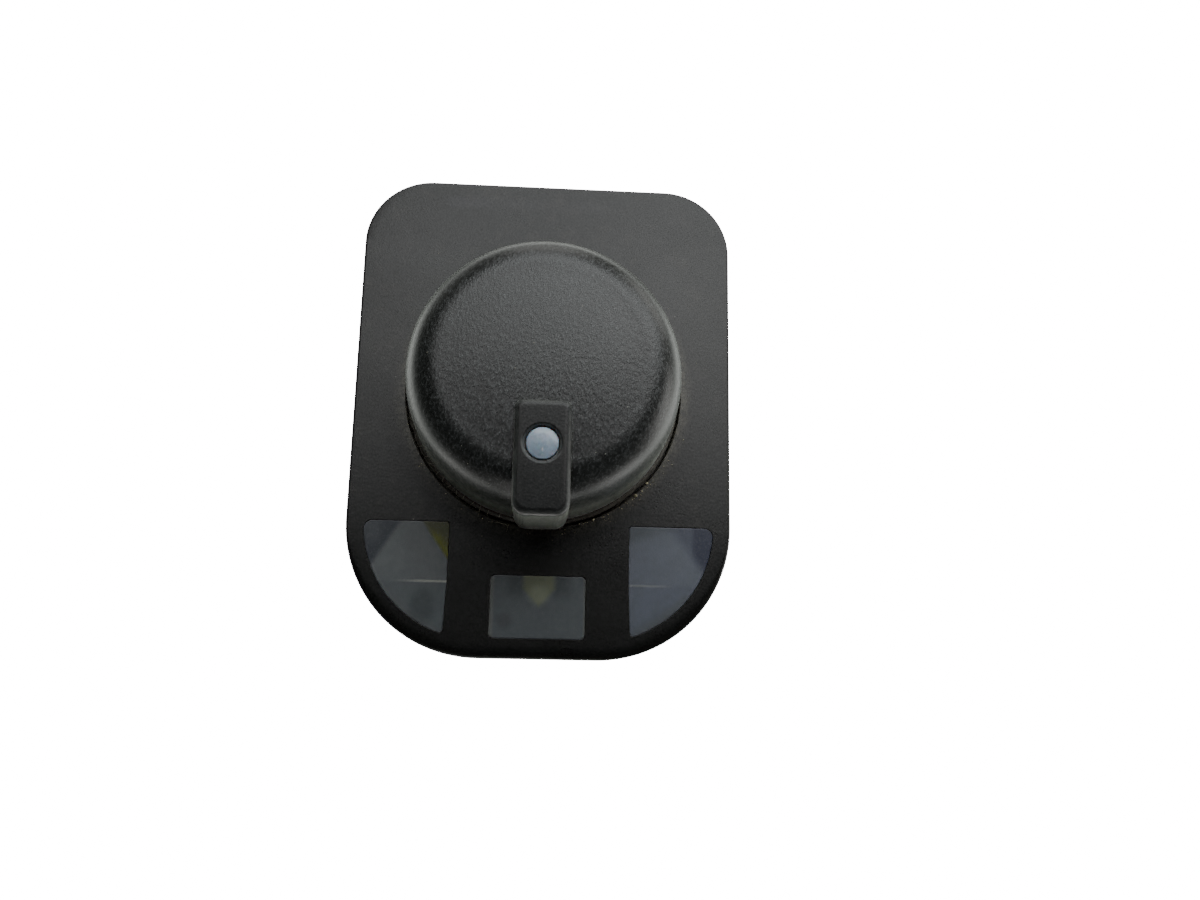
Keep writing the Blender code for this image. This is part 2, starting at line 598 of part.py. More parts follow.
# detent wheel: three notches, one for each position
N = 96
outer, inner = [], []
for k in range(N):
    a = 360.0 * k / N
    r = WHEEL_R
    for pos in (-TURN, 0.0, TURN):
        d = abs((a - (90 + pos) + 180) % 360 - 180)
        if d < 10:
            r = min(r, WHEEL_R - NOTCH_D * (0.5 + 0.5 * math.cos(math.pi * d / 10)) ** 0.6)
    outer.append((r * math.cos(math.radians(a)), r * math.sin(math.radians(a))))
    inner.append(((SPINDLE_R + FIT) * math.cos(math.radians(a)), (SPINDLE_R + FIT) * math.sin(math.radians(a))))
wheel_o = outer
tube("detent_wheel", wheel_o, inner, (15.3, 18.3), "detent_acetal", AXIS, 25)

lathe(
    "contact_rotor",
    [(SPINDLE_R + FIT, 14.0), (7.4, 14.0), (7.4, 14.9), (5.0, 15.1), (SPINDLE_R + FIT, 15.1)],
    32,
    "rotor_acetal",
    AXIS,
)
for name, s in (("contact_wiper_front", -1), ("contact_wiper_rear", 1)):
    path = [(3.5, 13.05), (4.35, 12.93), (4.9, 13.55), (5.6, 13.72), (6.0, 13.0), (6.5, 12.93), (6.9, 13.2)]
    pts = ribbon([(s * y, z) for y, z in path], 0.22)
    prism(name, pts, -0.9, 0.9, "contact_copper", AXIS, axis="X")

for i, c in enumerate(COLUMNS):
    screw = lathe(
        "cover_screw_%d" % (i + 1),
        [(0, 0.15), (1.3, 0.15), (1.95, 0.55), (1.95, 1.15), (0.95, 1.15), (0.95, 18.6), (0.4, 19.4), (0, 19.4)],
        14,
        "screw_steel",
        centre=c,
    )
    w, l = 0.28, 1.15
    cross = [(w, w), (l, w), (l, -w), (w, -w), (w, -l), (-w, -l), (-w, -w), (-l, -w), (-l, w), (-w, w), (-w, l), (w, l)]
    combine(screw, prism("t", [(c[0] + x, c[1] + y) for x, y in cross][::-1], -0.5, 0.75), "DIFFERENCE", smooth=35)

bpy.context.view_layer.update()
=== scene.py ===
import json
import math
import random

import bmesh
import bpy
from mathutils import Matrix, Vector


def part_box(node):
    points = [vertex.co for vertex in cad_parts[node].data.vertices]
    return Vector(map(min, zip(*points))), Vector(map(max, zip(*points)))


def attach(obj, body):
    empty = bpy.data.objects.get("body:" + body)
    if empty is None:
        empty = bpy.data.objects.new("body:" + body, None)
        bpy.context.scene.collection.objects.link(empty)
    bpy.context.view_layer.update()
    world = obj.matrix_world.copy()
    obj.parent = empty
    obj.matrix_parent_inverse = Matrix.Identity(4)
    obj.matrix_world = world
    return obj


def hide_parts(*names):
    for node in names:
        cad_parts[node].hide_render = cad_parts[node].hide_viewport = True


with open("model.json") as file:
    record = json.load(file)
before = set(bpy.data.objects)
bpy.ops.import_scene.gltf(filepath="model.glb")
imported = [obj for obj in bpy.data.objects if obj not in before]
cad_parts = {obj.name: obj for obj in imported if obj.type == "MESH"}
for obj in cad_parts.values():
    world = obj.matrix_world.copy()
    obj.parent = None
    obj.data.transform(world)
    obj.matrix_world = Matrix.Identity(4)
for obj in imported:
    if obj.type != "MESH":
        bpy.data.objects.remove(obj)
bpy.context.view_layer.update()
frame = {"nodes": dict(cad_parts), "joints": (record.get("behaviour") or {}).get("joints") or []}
NODES = frame["nodes"]
MM = 0.001
random.seed(11)

# ---------------------------------------------------------------- sizes
F_LO, F_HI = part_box("faceplate")
FACE_Z = F_HI.z / MM
PLATE_W = (F_HI.x - F_LO.x) / MM
PLATE_H = (F_HI.y - F_LO.y) / MM
PLATE_T = 2.4
BACK_Z = FACE_Z - PLATE_T
R_TOP, R_LOW = 6.9, 13.2
EDGE = 0.30
J = [j for j in frame["joints"] if j["name"] == "knob_turn"][0]
AX, AY = J["pos_m"][0] / MM, J["pos_m"][1] / MM
K_LO, K_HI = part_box("knob")
BAR_TOP = K_HI.z / MM
KNOB_LOW = K_LO.z / MM
KNOB_R = 13.20
CROWN = BAR_TOP - 0.5
WALL_Z = FACE_Z + 5.7
OUT_Z = FACE_Z + 4.7
D_LO, D_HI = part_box("pointer_light_pipe")
DOT_Y = (D_LO.y + D_HI.y) / 2 / MM
DOT_R = (D_HI.x - D_LO.x) / 2 / MM
G_LO, G_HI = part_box("knob_base_ring")
S_LO, S_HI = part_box("window_lens_right")
M_LO, M_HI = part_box("window_lens_center")


# -------------------------------------------------------- mesh helpers
def solid(name, verts, faces, smooth=40, unit=MM):
    me = bpy.data.meshes.new(name)
    me.from_pydata([[c * unit for c in v] for v in verts], [], faces)
    bm = bmesh.new()
    bm.from_mesh(me)
    bmesh.ops.recalc_face_normals(bm, faces=bm.faces)
    bm.to_mesh(me)
    bm.free()
    ob = bpy.data.objects.new(name, me)
    bpy.context.scene.collection.objects.link(ob)
    if smooth:
        me.shade_smooth()
        me.set_sharp_from_angle(angle=math.radians(smooth))
    return ob


def lathe(name, profile, segs, centre=(0, 0), smooth=40):
    verts, rows = [], []
    for r, z in profile:
        if r < 1e-6:
            rows.append([len(verts)] * segs)
            verts.append((centre[0], centre[1], z))
        else:
            rows.append([])
            for k in range(segs):
                a = 2 * math.pi * k / segs
                rows[-1].append(len(verts))
                verts.append((centre[0] + r * math.cos(a), centre[1] + r * math.sin(a), z))
    faces = []
    for i in range(len(rows)):
        a, b = rows[i], rows[(i + 1) % len(rows)]
        if a[0] == a[1] and b[0] == b[1]:
            continue
        for k in range(segs):
            q = [a[k], a[(k + 1) % segs], b[(k + 1) % segs], b[k]]
            faces.append([v for j, v in enumerate(q) if v not in q[:j]])
    return solid(name, verts, faces, smooth)


def loft(name, levels, smooth=40):
    """Solid through outlines of equal length, [(z, points), ...]."""
    n = len(levels[0][1])
    verts = [(p[0], p[1], z) for z, pts in levels for p in pts]
    faces = [list(range(n))[::-1], list(range((len(levels) - 1) * n, len(levels) * n))]
    for k in range(len(levels) - 1):
        faces += [[k * n + i, k * n + (i + 1) % n, (k + 1) * n + (i + 1) % n, (k + 1) * n + i] for i in range(n)]
    return solid(name, verts, faces, smooth)


def block(name, x, y, z, bevel=0.0, segs=2, smooth=40):
    ob = loft(name, [(z[0], [(x[0], y[0]), (x[1], y[0]), (x[1], y[1]), (x[0], y[1])]), (z[1], [(x[0], y[0]), (x[1], y[0]), (x[1], y[1]), (x[0], y[1])])], None)
    if bevel:
        bm = bmesh.new()
        bm.from_mesh(ob.data)
        bmesh.ops.bevel(bm, geom=list(bm.edges), offset=bevel * MM, segments=segs, profile=0.5, affect="EDGES")
        bm.to_mesh(ob.data)
        bm.free()
    ob.data.shade_smooth()
    ob.data.set_sharp_from_angle(angle=math.radians(smooth))
    return ob


def combine(ob, tools, op="DIFFERENCE", smooth=40):
    for tool in tools if isinstance(tools, (list, tuple)) else [tools]:
        mod = ob.modifiers.new("join", "BOOLEAN")
        mod.operation, mod.solver, mod.object = op, "EXACT", tool
        bpy.context.view_layer.update()
        me = bpy.data.meshes.new_from_object(ob.evaluated_get(bpy.context.evaluated_depsgraph_get()))
        ob.modifiers.remove(mod)
        old, ob.data = ob.data, me
        me.materials.clear()
        bpy.data.meshes.remove(old)
        bpy.data.objects.remove(tool, do_unlink=True)
    ob.data.shade_smooth()
    ob.data.set_sharp_from_angle(angle=math.radians(smooth))
    return ob


def even_normals(ob):
    """Keep wide flat faces flat next to their small roundings."""
    mod = ob.modifiers.new("even_normals", "WEIGHTED_NORMAL")
    mod.keep_sharp = True
    mod.weight = 90
    return ob


def arc(cx, cy, r, a0, a1, n):
    return [(cx + r * math.cos(math.radians(a0 + (a1 - a0) * i / n)), cy + r * math.sin(math.radians(a0 + (a1 - a0) * i / n))) for i in range(n + 1)]


def outline(inset, n_top=24, n_low=36):
    w, h = PLATE_W / 2, PLATE_H / 2
    p = arc(w - R_LOW, -h + R_LOW, R_LOW - inset, -90, 0, n_low)
    p += arc(w - R_TOP, h - R_TOP, R_TOP - inset, 0, 90, n_top)
    p += arc(-w + R_TOP, h - R_TOP, R_TOP - inset, 90, 180, n_top)
    p += arc(-w + R_LOW, -h + R_LOW, R_LOW - inset, 180, 270, n_low)
    return p


SIDE_TOP, SIDE_IN, SIDE_OUT, CREASE_Y, TAPER, SIDE_R = -11.42, 8.82, 17.15, -17.26, 0.18, 11.45
MID_X, MID_TOP, MID_LOW = 4.65, -16.5, -22.56


def side_window(inset, side, n=28):
    cx, cy = PLATE_W / 2 - R_LOW, -PLATE_H / 2 + R_LOW
    r = SIDE_R - inset
    top, inn, out = SIDE_TOP - inset, SIDE_IN + inset, SIDE_OUT - inset
    cr = 0.9 - inset
    tr = 0.32 - inset * 0.5
    p = arc(inn + tr, top - tr, tr, 90, 180, 4)
    p += [(inn, CREASE_Y)]
    low = math.acos((inn + TAPER + 0.38 - cx) / r)
    tip_y = cy - r * math.sin(low)
    p += [(inn + TAPER * 0.97, tip_y + 0.40), (inn + TAPER + 0.05, tip_y + 0.16), (inn + TAPER + 0.18, tip_y + 0.03)]
    a_top = math.asin(((top - cr) - cy) / r)
    p += arc(cx, cy, r, -math.degrees(low), math.degrees(a_top), n)
    x0, y0 = p[-1]
    p += arc(x0 - cr, y0, cr, 0, 90, 5)[1:]
    if side < 0:
        p = [(-x, y) for x, y in p][::-1]
    return p


def mid_window(inset):
    x, t, b, r = MID_X - inset, MID_TOP - inset, MID_LOW + inset, 0.5 - inset * 0.5
    return arc(x - r, b + r, r, -90, 0, 6) + arc(x - r, t - r, r, 0, 90, 6) + arc(-x + r, t - r, r, 90, 180, 6) + arc(-x + r, b + r, r, 180, 270, 6)


# ----------------------------------------------------- node material kit
class Mat:
    """Small helper round a material's node tree."""

    def __init__(self, name):
        self.m = bpy.data.materials.new(name)
        self.m.use_nodes = True
        self.t = self.m.node_tree
        self.p = self.t.nodes["Principled BSDF"]
        self.out = self.t.nodes["Material Output"]
        self.co = self.t.nodes.new("ShaderNodeTexCoord").outputs["Object"]

    def set(self, **kw):
        for k, v in kw.items():
            self.p.inputs[k.replace("_", " ")].default_value = v
        return self

    def node(self, kind, **kw):
        n = self.t.nodes.new(kind)
        for k, v in kw.items():
            setattr(n, k, v)
        return n

    def link(self, a, b):
        self.t.links.new(a, b)

    def put(self, sock, v):
        if hasattr(v, "links"):
            self.link(v, sock)
        else:
            sock.default_value = v

    def math(self, op, a, b=0.0, c=None, clamp=False):
        n = self.node("ShaderNodeMath", operation=op, use_clamp=clamp)
        self.put(n.inputs[0], a)
        self.put(n.inputs[1], b)
        if c is not None:
            self.put(n.inputs[2], c)
        return n.outputs[0]

    def noise(self, scale, detail=3.0, rough=0.55, dist=0.0, vec=None):
        n = self.node("ShaderNodeTexNoise")
        self.link(vec or self.co, n.inputs["Vector"])
        n.inputs["Scale"].default_value = scale
        n.inputs["Detail"].default_value = detail
        n.inputs["Roughness"].default_value = rough
        n.inputs["Distortion"].default_value = dist
        return n.outputs["Fac"]

    def cells(self, scale, feature="F1", vec=None, rand=1.0):
        n = self.node("ShaderNodeTexVoronoi", feature=feature)
        self.link(vec or self.co, n.inputs["Vector"])
        n.inputs["Scale"].default_value = scale
        n.inputs["Randomness"].default_value = rand
        return n.outputs["Distance"]

    def stretch(self, scale=(1, 1, 1), rot=(0, 0, 0), loc=(0, 0, 0)):
        n = self.node("ShaderNodeMapping")
        self.link(self.co, n.inputs["Vector"])
        n.inputs["Scale"].default_value = scale
        n.inputs["Rotation"].default_value = rot
        n.inputs["Location"].default_value = loc
        return n.outputs["Vector"]

    def drawn(self, along=2.2, angle=0.0):
        """Coordinates that draw a pattern out along Y, tilted by an angle."""
        n = self.node("ShaderNodeMapping", vector_type="TEXTURE")
        self.link(self.co, n.inputs["Vector"])
        n.inputs["Scale"].default_value = (1, along, 1)
        n.inputs["Rotation"].default_value = (0, 0, angle)
        return n.outputs["Vector"]

    def xyz(self, vec=None):
        n = self.node("ShaderNodeSeparateXYZ")
        self.link(vec or self.co, n.inputs[0])
        return n.outputs[0], n.outputs[1], n.outputs[2]

    def ramp(self, fac, stops, interp="LINEAR"):
        n = self.node("ShaderNodeValToRGB")
        n.color_ramp.interpolation = interp
        e = n.color_ramp.elements
        while len(e) < len(stops):
            e.new(0.5)
        for i, (pos, col) in enumerate(stops):
            e[i].position = pos
            c = col if hasattr(col, "__len__") else (col, col, col)
            e[i].color = (*c, 1.0)
        self.link(fac, n.inputs["Fac"])
        return n.outputs["Color"]

    def span(self, v, a, b, lo=0.0, hi=1.0, smooth=True):
        n = self.node("ShaderNodeMapRange", interpolation_type="SMOOTHSTEP" if smooth else "LINEAR", clamp=True)
        self.put(n.inputs["Value"], v)
        n.inputs["From Min"].default_value = a
        n.inputs["From Max"].default_value = b
        n.inputs["To Min"].default_value = lo
        n.inputs["To Max"].default_value = hi
        return n.outputs["Result"]

    def mix(self, fac, a, b, blend="MIX"):
        n = self.node("ShaderNodeMix", data_type="RGBA", blend_type=blend, clamp_factor=True)
        self.put(n.inputs[0], fac)
        for sock, v in ((n.inputs[6], a), (n.inputs[7], b)):
            if hasattr(v, "links"):
                self.link(v, sock)
            else:
                sock.default_value = (*v, 1.0)
        return n.outputs[2]

    def bump(self, height, dist, strength=1.0, normal=None):
        n = self.node("ShaderNodeBump")
        n.inputs["Strength"].default_value = strength
        n.inputs["Distance"].default_value = dist
        self.link(height, n.inputs["Height"])
        if normal is not None:
            self.link(normal, n.inputs["Normal"])
        return n.outputs["Normal"]

    def color(self, sock):
        self.link(sock, self.p.inputs["Base Color"])

    def rough(self, sock):
        self.link(sock, self.p.inputs["Roughness"])

    def normal(self, sock):
        self.link(sock, self.p.inputs["Normal"])


def wear(m, base, light, amount=0.5):
    """Mottled colour: broad patches, fine grain and a few pale specks."""
    patch = m.noise(160, 4, 0.6)
    grain = m.noise(3800, 2, 0.6)
    c = m.mix(m.span(patch, 0.35, 0.7, 0, amount), base, light)
    return m.mix(m.span(grain, 0.42, 0.66, 0, 0.55), c, light)


def moulded(name, base, light, rough=0.5, grain=3000.0, depth=0.000012, spec=0.5, specks=0.0, coat=0.0):
    m = Mat(name)
    m.set(Specular_IOR_Level=spec, IOR=1.5)
    c = wear(m, base, light, 0.5)
    if specks:
        dots = m.cells(900)
        gate = m.noise(260, 2, 0.5)
        s = m.math("MULTIPLY", m.span(dots, 0.10, 0.05, 0, 1), m.span(gate, 0.58, 0.66, 0, specks))
        c = m.mix(s, c, (0.35, 0.34, 0.30))
    m.color(c)
    r = m.math("ADD", m.span(m.noise(220, 4, 0.6), 0.3, 0.7, -0.05, 0.06), m.span(m.noise(grain, 2, 0.6), 0.3, 0.7, rough - 0.04, rough + 0.06))
    m.rough(r)
    h = m.math("ADD", m.noise(grain, 3, 0.6), m.math("MULTIPLY", m.noise(grain * 0.37, 2, 0.5), 0.6))
    m.normal(m.bump(h, depth))
    return m


def cover_with(ob, m):
    ob.data.materials.clear()
    ob.data.materials.append(m.m)
    return ob


# ------------------------------------------------------------ materials
# faceplate: fine grain, a paler band across the top, dust and some painted light near the knob's foot, painted shade
# below the knob and along the lower edge
def plate_material():
    m = Mat("plate_grain")
    m.set(Specular_IOR_Level=0.5, IOR=1.5)
    x, y, z = m.xyz()
    patch = m.noise(130, 5, 0.62, 0.3)
    grain = m.noise(4200, 2, 0.65)
    mid = m.noise(1300, 3, 0.6)
    c = m.mix(m.span(patch, 0.33, 0.68, 0, 0.8), (0.011, 0.0115, 0.011), (0.016, 0.0165, 0.016))
    c = m.mix(m.span(grain, 0.40, 0.68, 0, 0.65), c, (0.026, 0.0265, 0.025))
    c = m.mix(m.span(mid, 0.60, 0.78, 0, 0.35), c, (0.034, 0.033, 0.029))
    # paler cloudy mottle, then painted shade below the knob
    cloud = m.noise(620, 4, 0.65)
    c = m.mix(m.span(cloud, 0.50, 0.72, 0, 0.48), c, (0.037, 0.035, 0.031))
    # painted shade: drawn darker below the knob, where the lights alone leave it too pale
    c = m.mix(m.span(y, -0.0085, -0.0165, 0.0, 0.88), c, (0.003, 0.003, 0.0025))
    # a paler, slightly rougher band across the top
    sx = m.math("MAXIMUM", m.math("MULTIPLY", m.span(m.math("ABSOLUTE", m.math("ADD", x, 0.0020)), 0.0105, 0.0060), 0.40), m.span(m.math("ABSOLUTE", m.math("ADD", x, 0.0082)), 0.0034, 0.0012))
    sy = m.span(m.math("ABSOLUTE", m.math("SUBTRACT", y, 0.0223)), 0.0010, 0.0001)
    top_band = m.math("MULTIPLY", m.math("MULTIPLY", sx, sy), m.span(m.noise(300, 3, 0.6), 0.25, 0.75, 0.5, 1.0))
    c = m.mix(m.math("MULTIPLY", top_band, 0.17), c, (0.150, 0.146, 0.165))
    # painted shade: the widened roll along the bottom is drawn darker, where it faces away from the lights
    c = m.mix(m.math("MULTIPLY", m.span(y, -0.0228, -0.0236), 0.75), c, (0.004, 0.004, 0.004))
    # close to the knob's foot: a pale film, partly dust and partly painted light that softens the shade there, then
    # dust specks and lint
    dy = m.math("SUBTRACT", y, AY * MM)
    rad = m.math("SQRT", m.math("ADD", m.math("MULTIPLY", x, x), m.math("MULTIPLY", dy, dy)))
    plate_dust_and_light = m.math("MULTIPLY", m.span(rad, 0.0154, 0.0136), m.span(m.noise(1500, 4, 0.7), 0.34, 0.66, 0.15, 0.9))
    c = m.mix(plate_dust_and_light, c, (0.130, 0.122, 0.095))
    near = m.math("MULTIPLY", m.span(rad, 0.0178, 0.0142), m.span(dy, -0.002, -0.009))
    speck = m.span(m.cells(1500), 0.17, 0.08)
    gate = m.span(m.noise(900, 2, 0.5), 0.52, 0.60)
    dust = m.math("MULTIPLY", m.math("MULTIPLY", near, speck), gate)
    far = m.math("MULTIPLY", m.span(m.cells(520), 0.055, 0.03), m.span(m.noise(300, 2, 0.5), 0.55, 0.62))
    c = m.mix(m.math("MULTIPLY", dust, 0.8), c, (0.20, 0.17, 0.11))
    c = m.mix(m.math("MULTIPLY", far, 0.5), c, (0.22, 0.21, 0.19))
    m.color(c)
    r = m.math("ADD", m.span(patch, 0.3, 0.7, 0.0, 0.06), m.span(grain, 0.3, 0.7, 0.26, 0.35))
    r = m.math("ADD", r, m.math("MULTIPLY", top_band, 0.05))
    m.rough(r)
    h = m.math("ADD", grain, m.math("MULTIPLY", mid, 0.7))
    m.normal(m.bump(h, 0.000012))
    return m


def knob_material():
    m = Mat("knob_grain")
    m.set(Specular_IOR_Level=0.62, IOR=1.5, Sheen_Weight=0.22, Sheen_Roughness=0.4, Sheen_Tint=(0.92, 1.0, 0.90, 1))
    x, y, z = m.xyz()
    grain = m.noise(4300, 2, 0.6, vec=m.drawn(1.9, -0.18))
    fine = m.noise(7600, 2, 0.6)
    patch = m.noise(140, 4, 0.6, 0.2)
    c = m.mix(m.span(patch, 0.35, 0.68, 0, 0.7), (0.009, 0.010, 0.0096), (0.014, 0.0153, 0.0148))
    c = m.mix(m.span(grain, 0.46, 0.68, 0, 0.80), c, (0.040, 0.043, 0.043))
    c = m.mix(m.math("MULTIPLY", m.span(grain, 0.46, 0.60), m.span(fine, 0.50, 0.68, 0, 0.65)), c, (0.088, 0.094, 0.096))
    # pale film on the side wall, thickest near the foot: partly dust, partly painted light that lifts the wall where
    # the lamps leave it dark
    wall_dust_and_light = m.math("MULTIPLY", m.span(z, (FACE_Z + 7.4) * MM, (FACE_Z + 3.8) * MM, 0.0, 1.0), m.span(m.noise(2100, 4, 0.7), 0.30, 0.68, 0.45, 1.0))
    c = m.mix(wall_dust_and_light, c, (0.185, 0.195, 0.175))
    speck = m.math("MULTIPLY", m.span(m.cells(700), 0.06, 0.03), m.span(m.noise(280, 2, 0.5), 0.56, 0.62))
    c = m.mix(m.math("MULTIPLY", speck, 0.7), c, (0.26, 0.25, 0.20))
    m.color(c)
    m.rough(m.math("ADD", m.span(patch, 0.3, 0.7, 0.0, 0.05), m.span(grain, 0.3, 0.7, 0.27, 0.36)))
    h = m.math("ADD", grain, m.math("MULTIPLY", fine, 0.40))
    dy = m.math("SUBTRACT", y, AY * MM)
    rad = m.math("SQRT", m.math("ADD", m.math("MULTIPLY", x, x), m.math("MULTIPLY", dy, dy)))
    h = m.math("MULTIPLY", h, m.span(rad, 0.0100, 0.0121, 1.0, 0.25))
    m.normal(m.bump(h, 0.000044))
    return m


PLATE_MAT = plate_material()
KNOB_MAT = knob_material()

# smoother plastic on the pointer bar
BAR_MAT = Mat("pointer_satin")
BAR_MAT.set(Specular_IOR_Level=0.42, Sheen_Weight=0.25, Sheen_Roughness=0.4, Sheen_Tint=(0.92, 1.0, 0.90, 1))
_p = BAR_MAT.noise(220, 4, 0.6)
_g = BAR_MAT.noise(5200, 2, 0.6)
_c = BAR_MAT.mix(BAR_MAT.span(_p, 0.35, 0.7, 0, 0.8), (0.008, 0.0085, 0.0085), (0.011, 0.012, 0.012))
_c = BAR_MAT.mix(BAR_MAT.span(_g, 0.5, 0.7, 0, 0.5), _c, (0.030, 0.031, 0.030))
_z = BAR_MAT.xyz()[2]
# painted highlight: the rounded top edge, and the sides below it, are drawn paler
_edge_highlight = BAR_MAT.math("MULTIPLY", BAR_MAT.span(_z, (BAR_TOP - 0.012) * MM, (BAR_TOP - 0.09) * MM), BAR_MAT.span(BAR_MAT.noise(900, 3, 0.6), 0.3, 0.65, 0.45, 0.9))
_c = BAR_MAT.mix(_edge_highlight, _c, (0.062, 0.066, 0.064))
# painted light: lower down, the bar's sides and end are drawn paler still, lifting faces the lamps leave dark
_c = BAR_MAT.mix(BAR_MAT.math("MULTIPLY", BAR_MAT.span(_z, (BAR_TOP - 0.5) * MM, (BAR_TOP - 1.6) * MM), BAR_MAT.span(BAR_MAT.noise(2100, 4, 0.7), 0.3, 0.68, 0.55, 1.0)), _c, (0.165, 0.175, 0.158))
# painted highlight: a pale crescent on the lower side of the dot's well rim
_bx, _by = BAR_MAT.xyz()[:2]
_bv = BAR_MAT.math("SUBTRACT", _by, DOT_Y * MM)
_br = BAR_MAT.math("SQRT", BAR_MAT.math("ADD", BAR_MAT.math("MULTIPLY", _bx, _bx), BAR_MAT.math("MULTIPLY", _bv, _bv)))
_well_highlight = BAR_MAT.math("MULTIPLY", BAR_MAT.span(_br, 0.00200, 0.00188), BAR_MAT.span(BAR_MAT.math("ADD", _bv, BAR_MAT.math("MULTIPLY", _bx, 0.35)), 0.0002, -0.0008))
_c = BAR_MAT.mix(BAR_MAT.math("MULTIPLY", _well_highlight, 0.55), _c, (0.10, 0.108, 0.108))
_s = BAR_MAT.math("MULTIPLY", BAR_MAT.span(BAR_MAT.cells(800), 0.05, 0.03), BAR_MAT.span(BAR_MAT.noise(260, 2, 0.5), 0.54, 0.6))
BAR_MAT.color(BAR_MAT.mix(BAR_MAT.math("MULTIPLY", _s, 0.7), _c, (0.30, 0.30, 0.27)))
BAR_MAT.rough(BAR_MAT.math("ADD", BAR_MAT.span(_p, 0.3, 0.7, 0.0, 0.06), BAR_MAT.span(_g, 0.3, 0.7, 0.27, 0.33)))
BAR_MAT.normal(BAR_MAT.bump(_g, 0.000018))


def lens_material(kind):
    """Milky smoked lens base colour; side_lens and mid_lens make it pale where the light guide lies under it, darker
    beside it.
    """
    m = Mat("lens_" + kind)
    m.set(Specular_IOR_Level=0.5, IOR=1.49, Coat_Weight=0.0)
    x, y, z = m.xyz()
    cloud = m.noise(420, 4, 0.6, 0.4)
    fine = m.noise(5200, 2, 0.6)
    base = m.mix(m.span(cloud, 0.3, 0.7, 0, 1), (0.058, 0.066, 0.073), (0.086, 0.095, 0.104))
    return m, x, y, base, cloud, fine


def finish_lens(m, c, cloud, fine):
    c = m.mix(m.span(fine, 0.50, 0.72, 0, 0.16), c, (0.160, 0.168, 0.176))
    m.color(c)
    m.rough(m.math("ADD", m.span(cloud, 0.3, 0.7, 0.0, 0.06), m.span(fine, 0.3, 0.7, 0.30, 0.38)))
    m.normal(m.bump(fine, 0.000005))
    return m


def side_lens(side):
    m, x, y, base, cloud, fine = lens_material("left" if side < 0 else "right")
    ax = m.math("ABSOLUTE", x)
    v = m.math("SUBTRACT", y, CREASE_Y * MM)

    def above(px, py, slope):
        """Signed height over a sloping line through (px, py) mm."""
        rise = m.math("MULTIPLY", m.math("SUBTRACT", ax, px * MM), slope)
        return m.math("DIVIDE", m.math("ADD", m.math("SUBTRACT", y, py * MM), rise), math.hypot(1, slope))

    if side < 0:
        pale, blue, foot, deep = (0.130, 0.139, 0.147), (0.038, 0.043, 0.055), (0.122, 0.134, 0.146), (0.074, 0.085, 0.092)
    else:
        pale, blue, foot, deep = (0.130, 0.143, 0.180), (0.030, 0.034, 0.060), (0.132, 0.146, 0.186), (0.070, 0.079, 0.081)
    # the light guide's wedge, shaded on its outer slope
    c = m.mix(m.span(v, -0.0005, 0.0005), foot, pale)
    c = m.mix(m.math("MULTIPLY", m.span(cloud, 0.35, 0.70), 0.28), c, base)
    outer = above(13.4, -11.5, 1.63) if side < 0 else above(13.1, -12.1, 1.19)
    soft = 0 if side < 0 else 0.0004
    shade = m.math("MULTIPLY", m.span(outer, -0.0002 - soft, 0.0005 + soft), m.span(v, 0.0004, 0.0014))
    if side < 0:
        c = m.mix(m.math("MULTIPLY", shade, 0.95), c, blue)
        far = m.math("MULTIPLY", m.span(ax, 0.0150, 0.0160), m.span(y, -0.0142, -0.0128))
        c = m.mix(m.math("MULTIPLY", far, 0.55), c, (0.078, 0.084, 0.094))
        # yellow-green corner on the inside
        tint = m.span(above(11.60, -11.45, -1.39), -0.0001, 0.0004)
        core = m.span(above(11.60, -11.45, -1.39), 0.0013, 0.0003)
        c = m.mix(m.math("MULTIPLY", tint, 0.94), c, (0.066, 0.070, 0.022))
        c = m.mix(m.math("MULTIPLY", m.math("MULTIPLY", tint, core), m.span(y, -0.0118, -0.0132)), c, (0.125, 0.138, 0.014))
        px, py = m.math("SUBTRACT", ax, 0.0111), m.math("ADD", y, 0.0197)
        pit = m.math("SQRT", m.math("ADD", m.math("MULTIPLY", px, px), m.math("MULTIPLY", m.math("MULTIPLY", py, py), 0.45)))
        c = m.mix(m.math("MULTIPLY", m.span(pit, 0.0018, 0.0006), 0.8), c, deep)
    else:
        c = m.mix(m.math("MULTIPLY", shade, 0.72), c, (0.054, 0.061, 0.092))
        side_band = m.math("MULTIPLY", m.span(ax, 0.01480, 0.01550), shade)
        c = m.mix(m.math("MULTIPLY", side_band, 0.92), c, blue)
        c = m.mix(m.math("MULTIPLY", m.span(above(11.4, -12.3, -0.35), -0.0006, 0.0008), 0.55), c, (0.060, 0.072, 0.078))
        low = m.math("MULTIPLY", m.span(above(14.9, -18.4, -0.67), 0.0010, -0.0012), m.span(v, 0.0, -0.0012))
        c = m.mix(m.math("MULTIPLY", low, 0.85), c, deep)
    # paler strip along the outer lower arc
    rx, ry = m.math("SUBTRACT", ax, (PLATE_W / 2 - R_LOW) * MM), m.math("SUBTRACT", y, (-PLATE_H / 2 + R_LOW) * MM)
    rr = m.math("SQRT", m.math("ADD", m.math("MULTIPLY", rx, rx), m.math("MULTIPLY", ry, ry)))
    strip = m.math("MULTIPLY", m.span(rr, (SIDE_R - 1.0) * MM, (SIDE_R - 0.4) * MM), m.span(v, 0.0, -0.0015))
    c = m.mix(m.math("MULTIPLY", strip, 0.30), c, (0.130, 0.138, 0.142))
    # painted highlight: a thin bright line along the crease, strongest near the middle of the part
    line = m.span(m.math("ABSOLUTE", v), 0.00016, 0.00005)
    fade = m.span(ax, 0.0146, 0.0100) if side < 0 else m.span(ax, 0.0138, 0.0110)
    c = m.mix(m.math("MULTIPLY", m.math("MULTIPLY", line, fade), 0.85 if side < 0 else 0.30), c, (0.36, 0.37, 0.34))
    return finish_lens(m, c, cloud, fine)


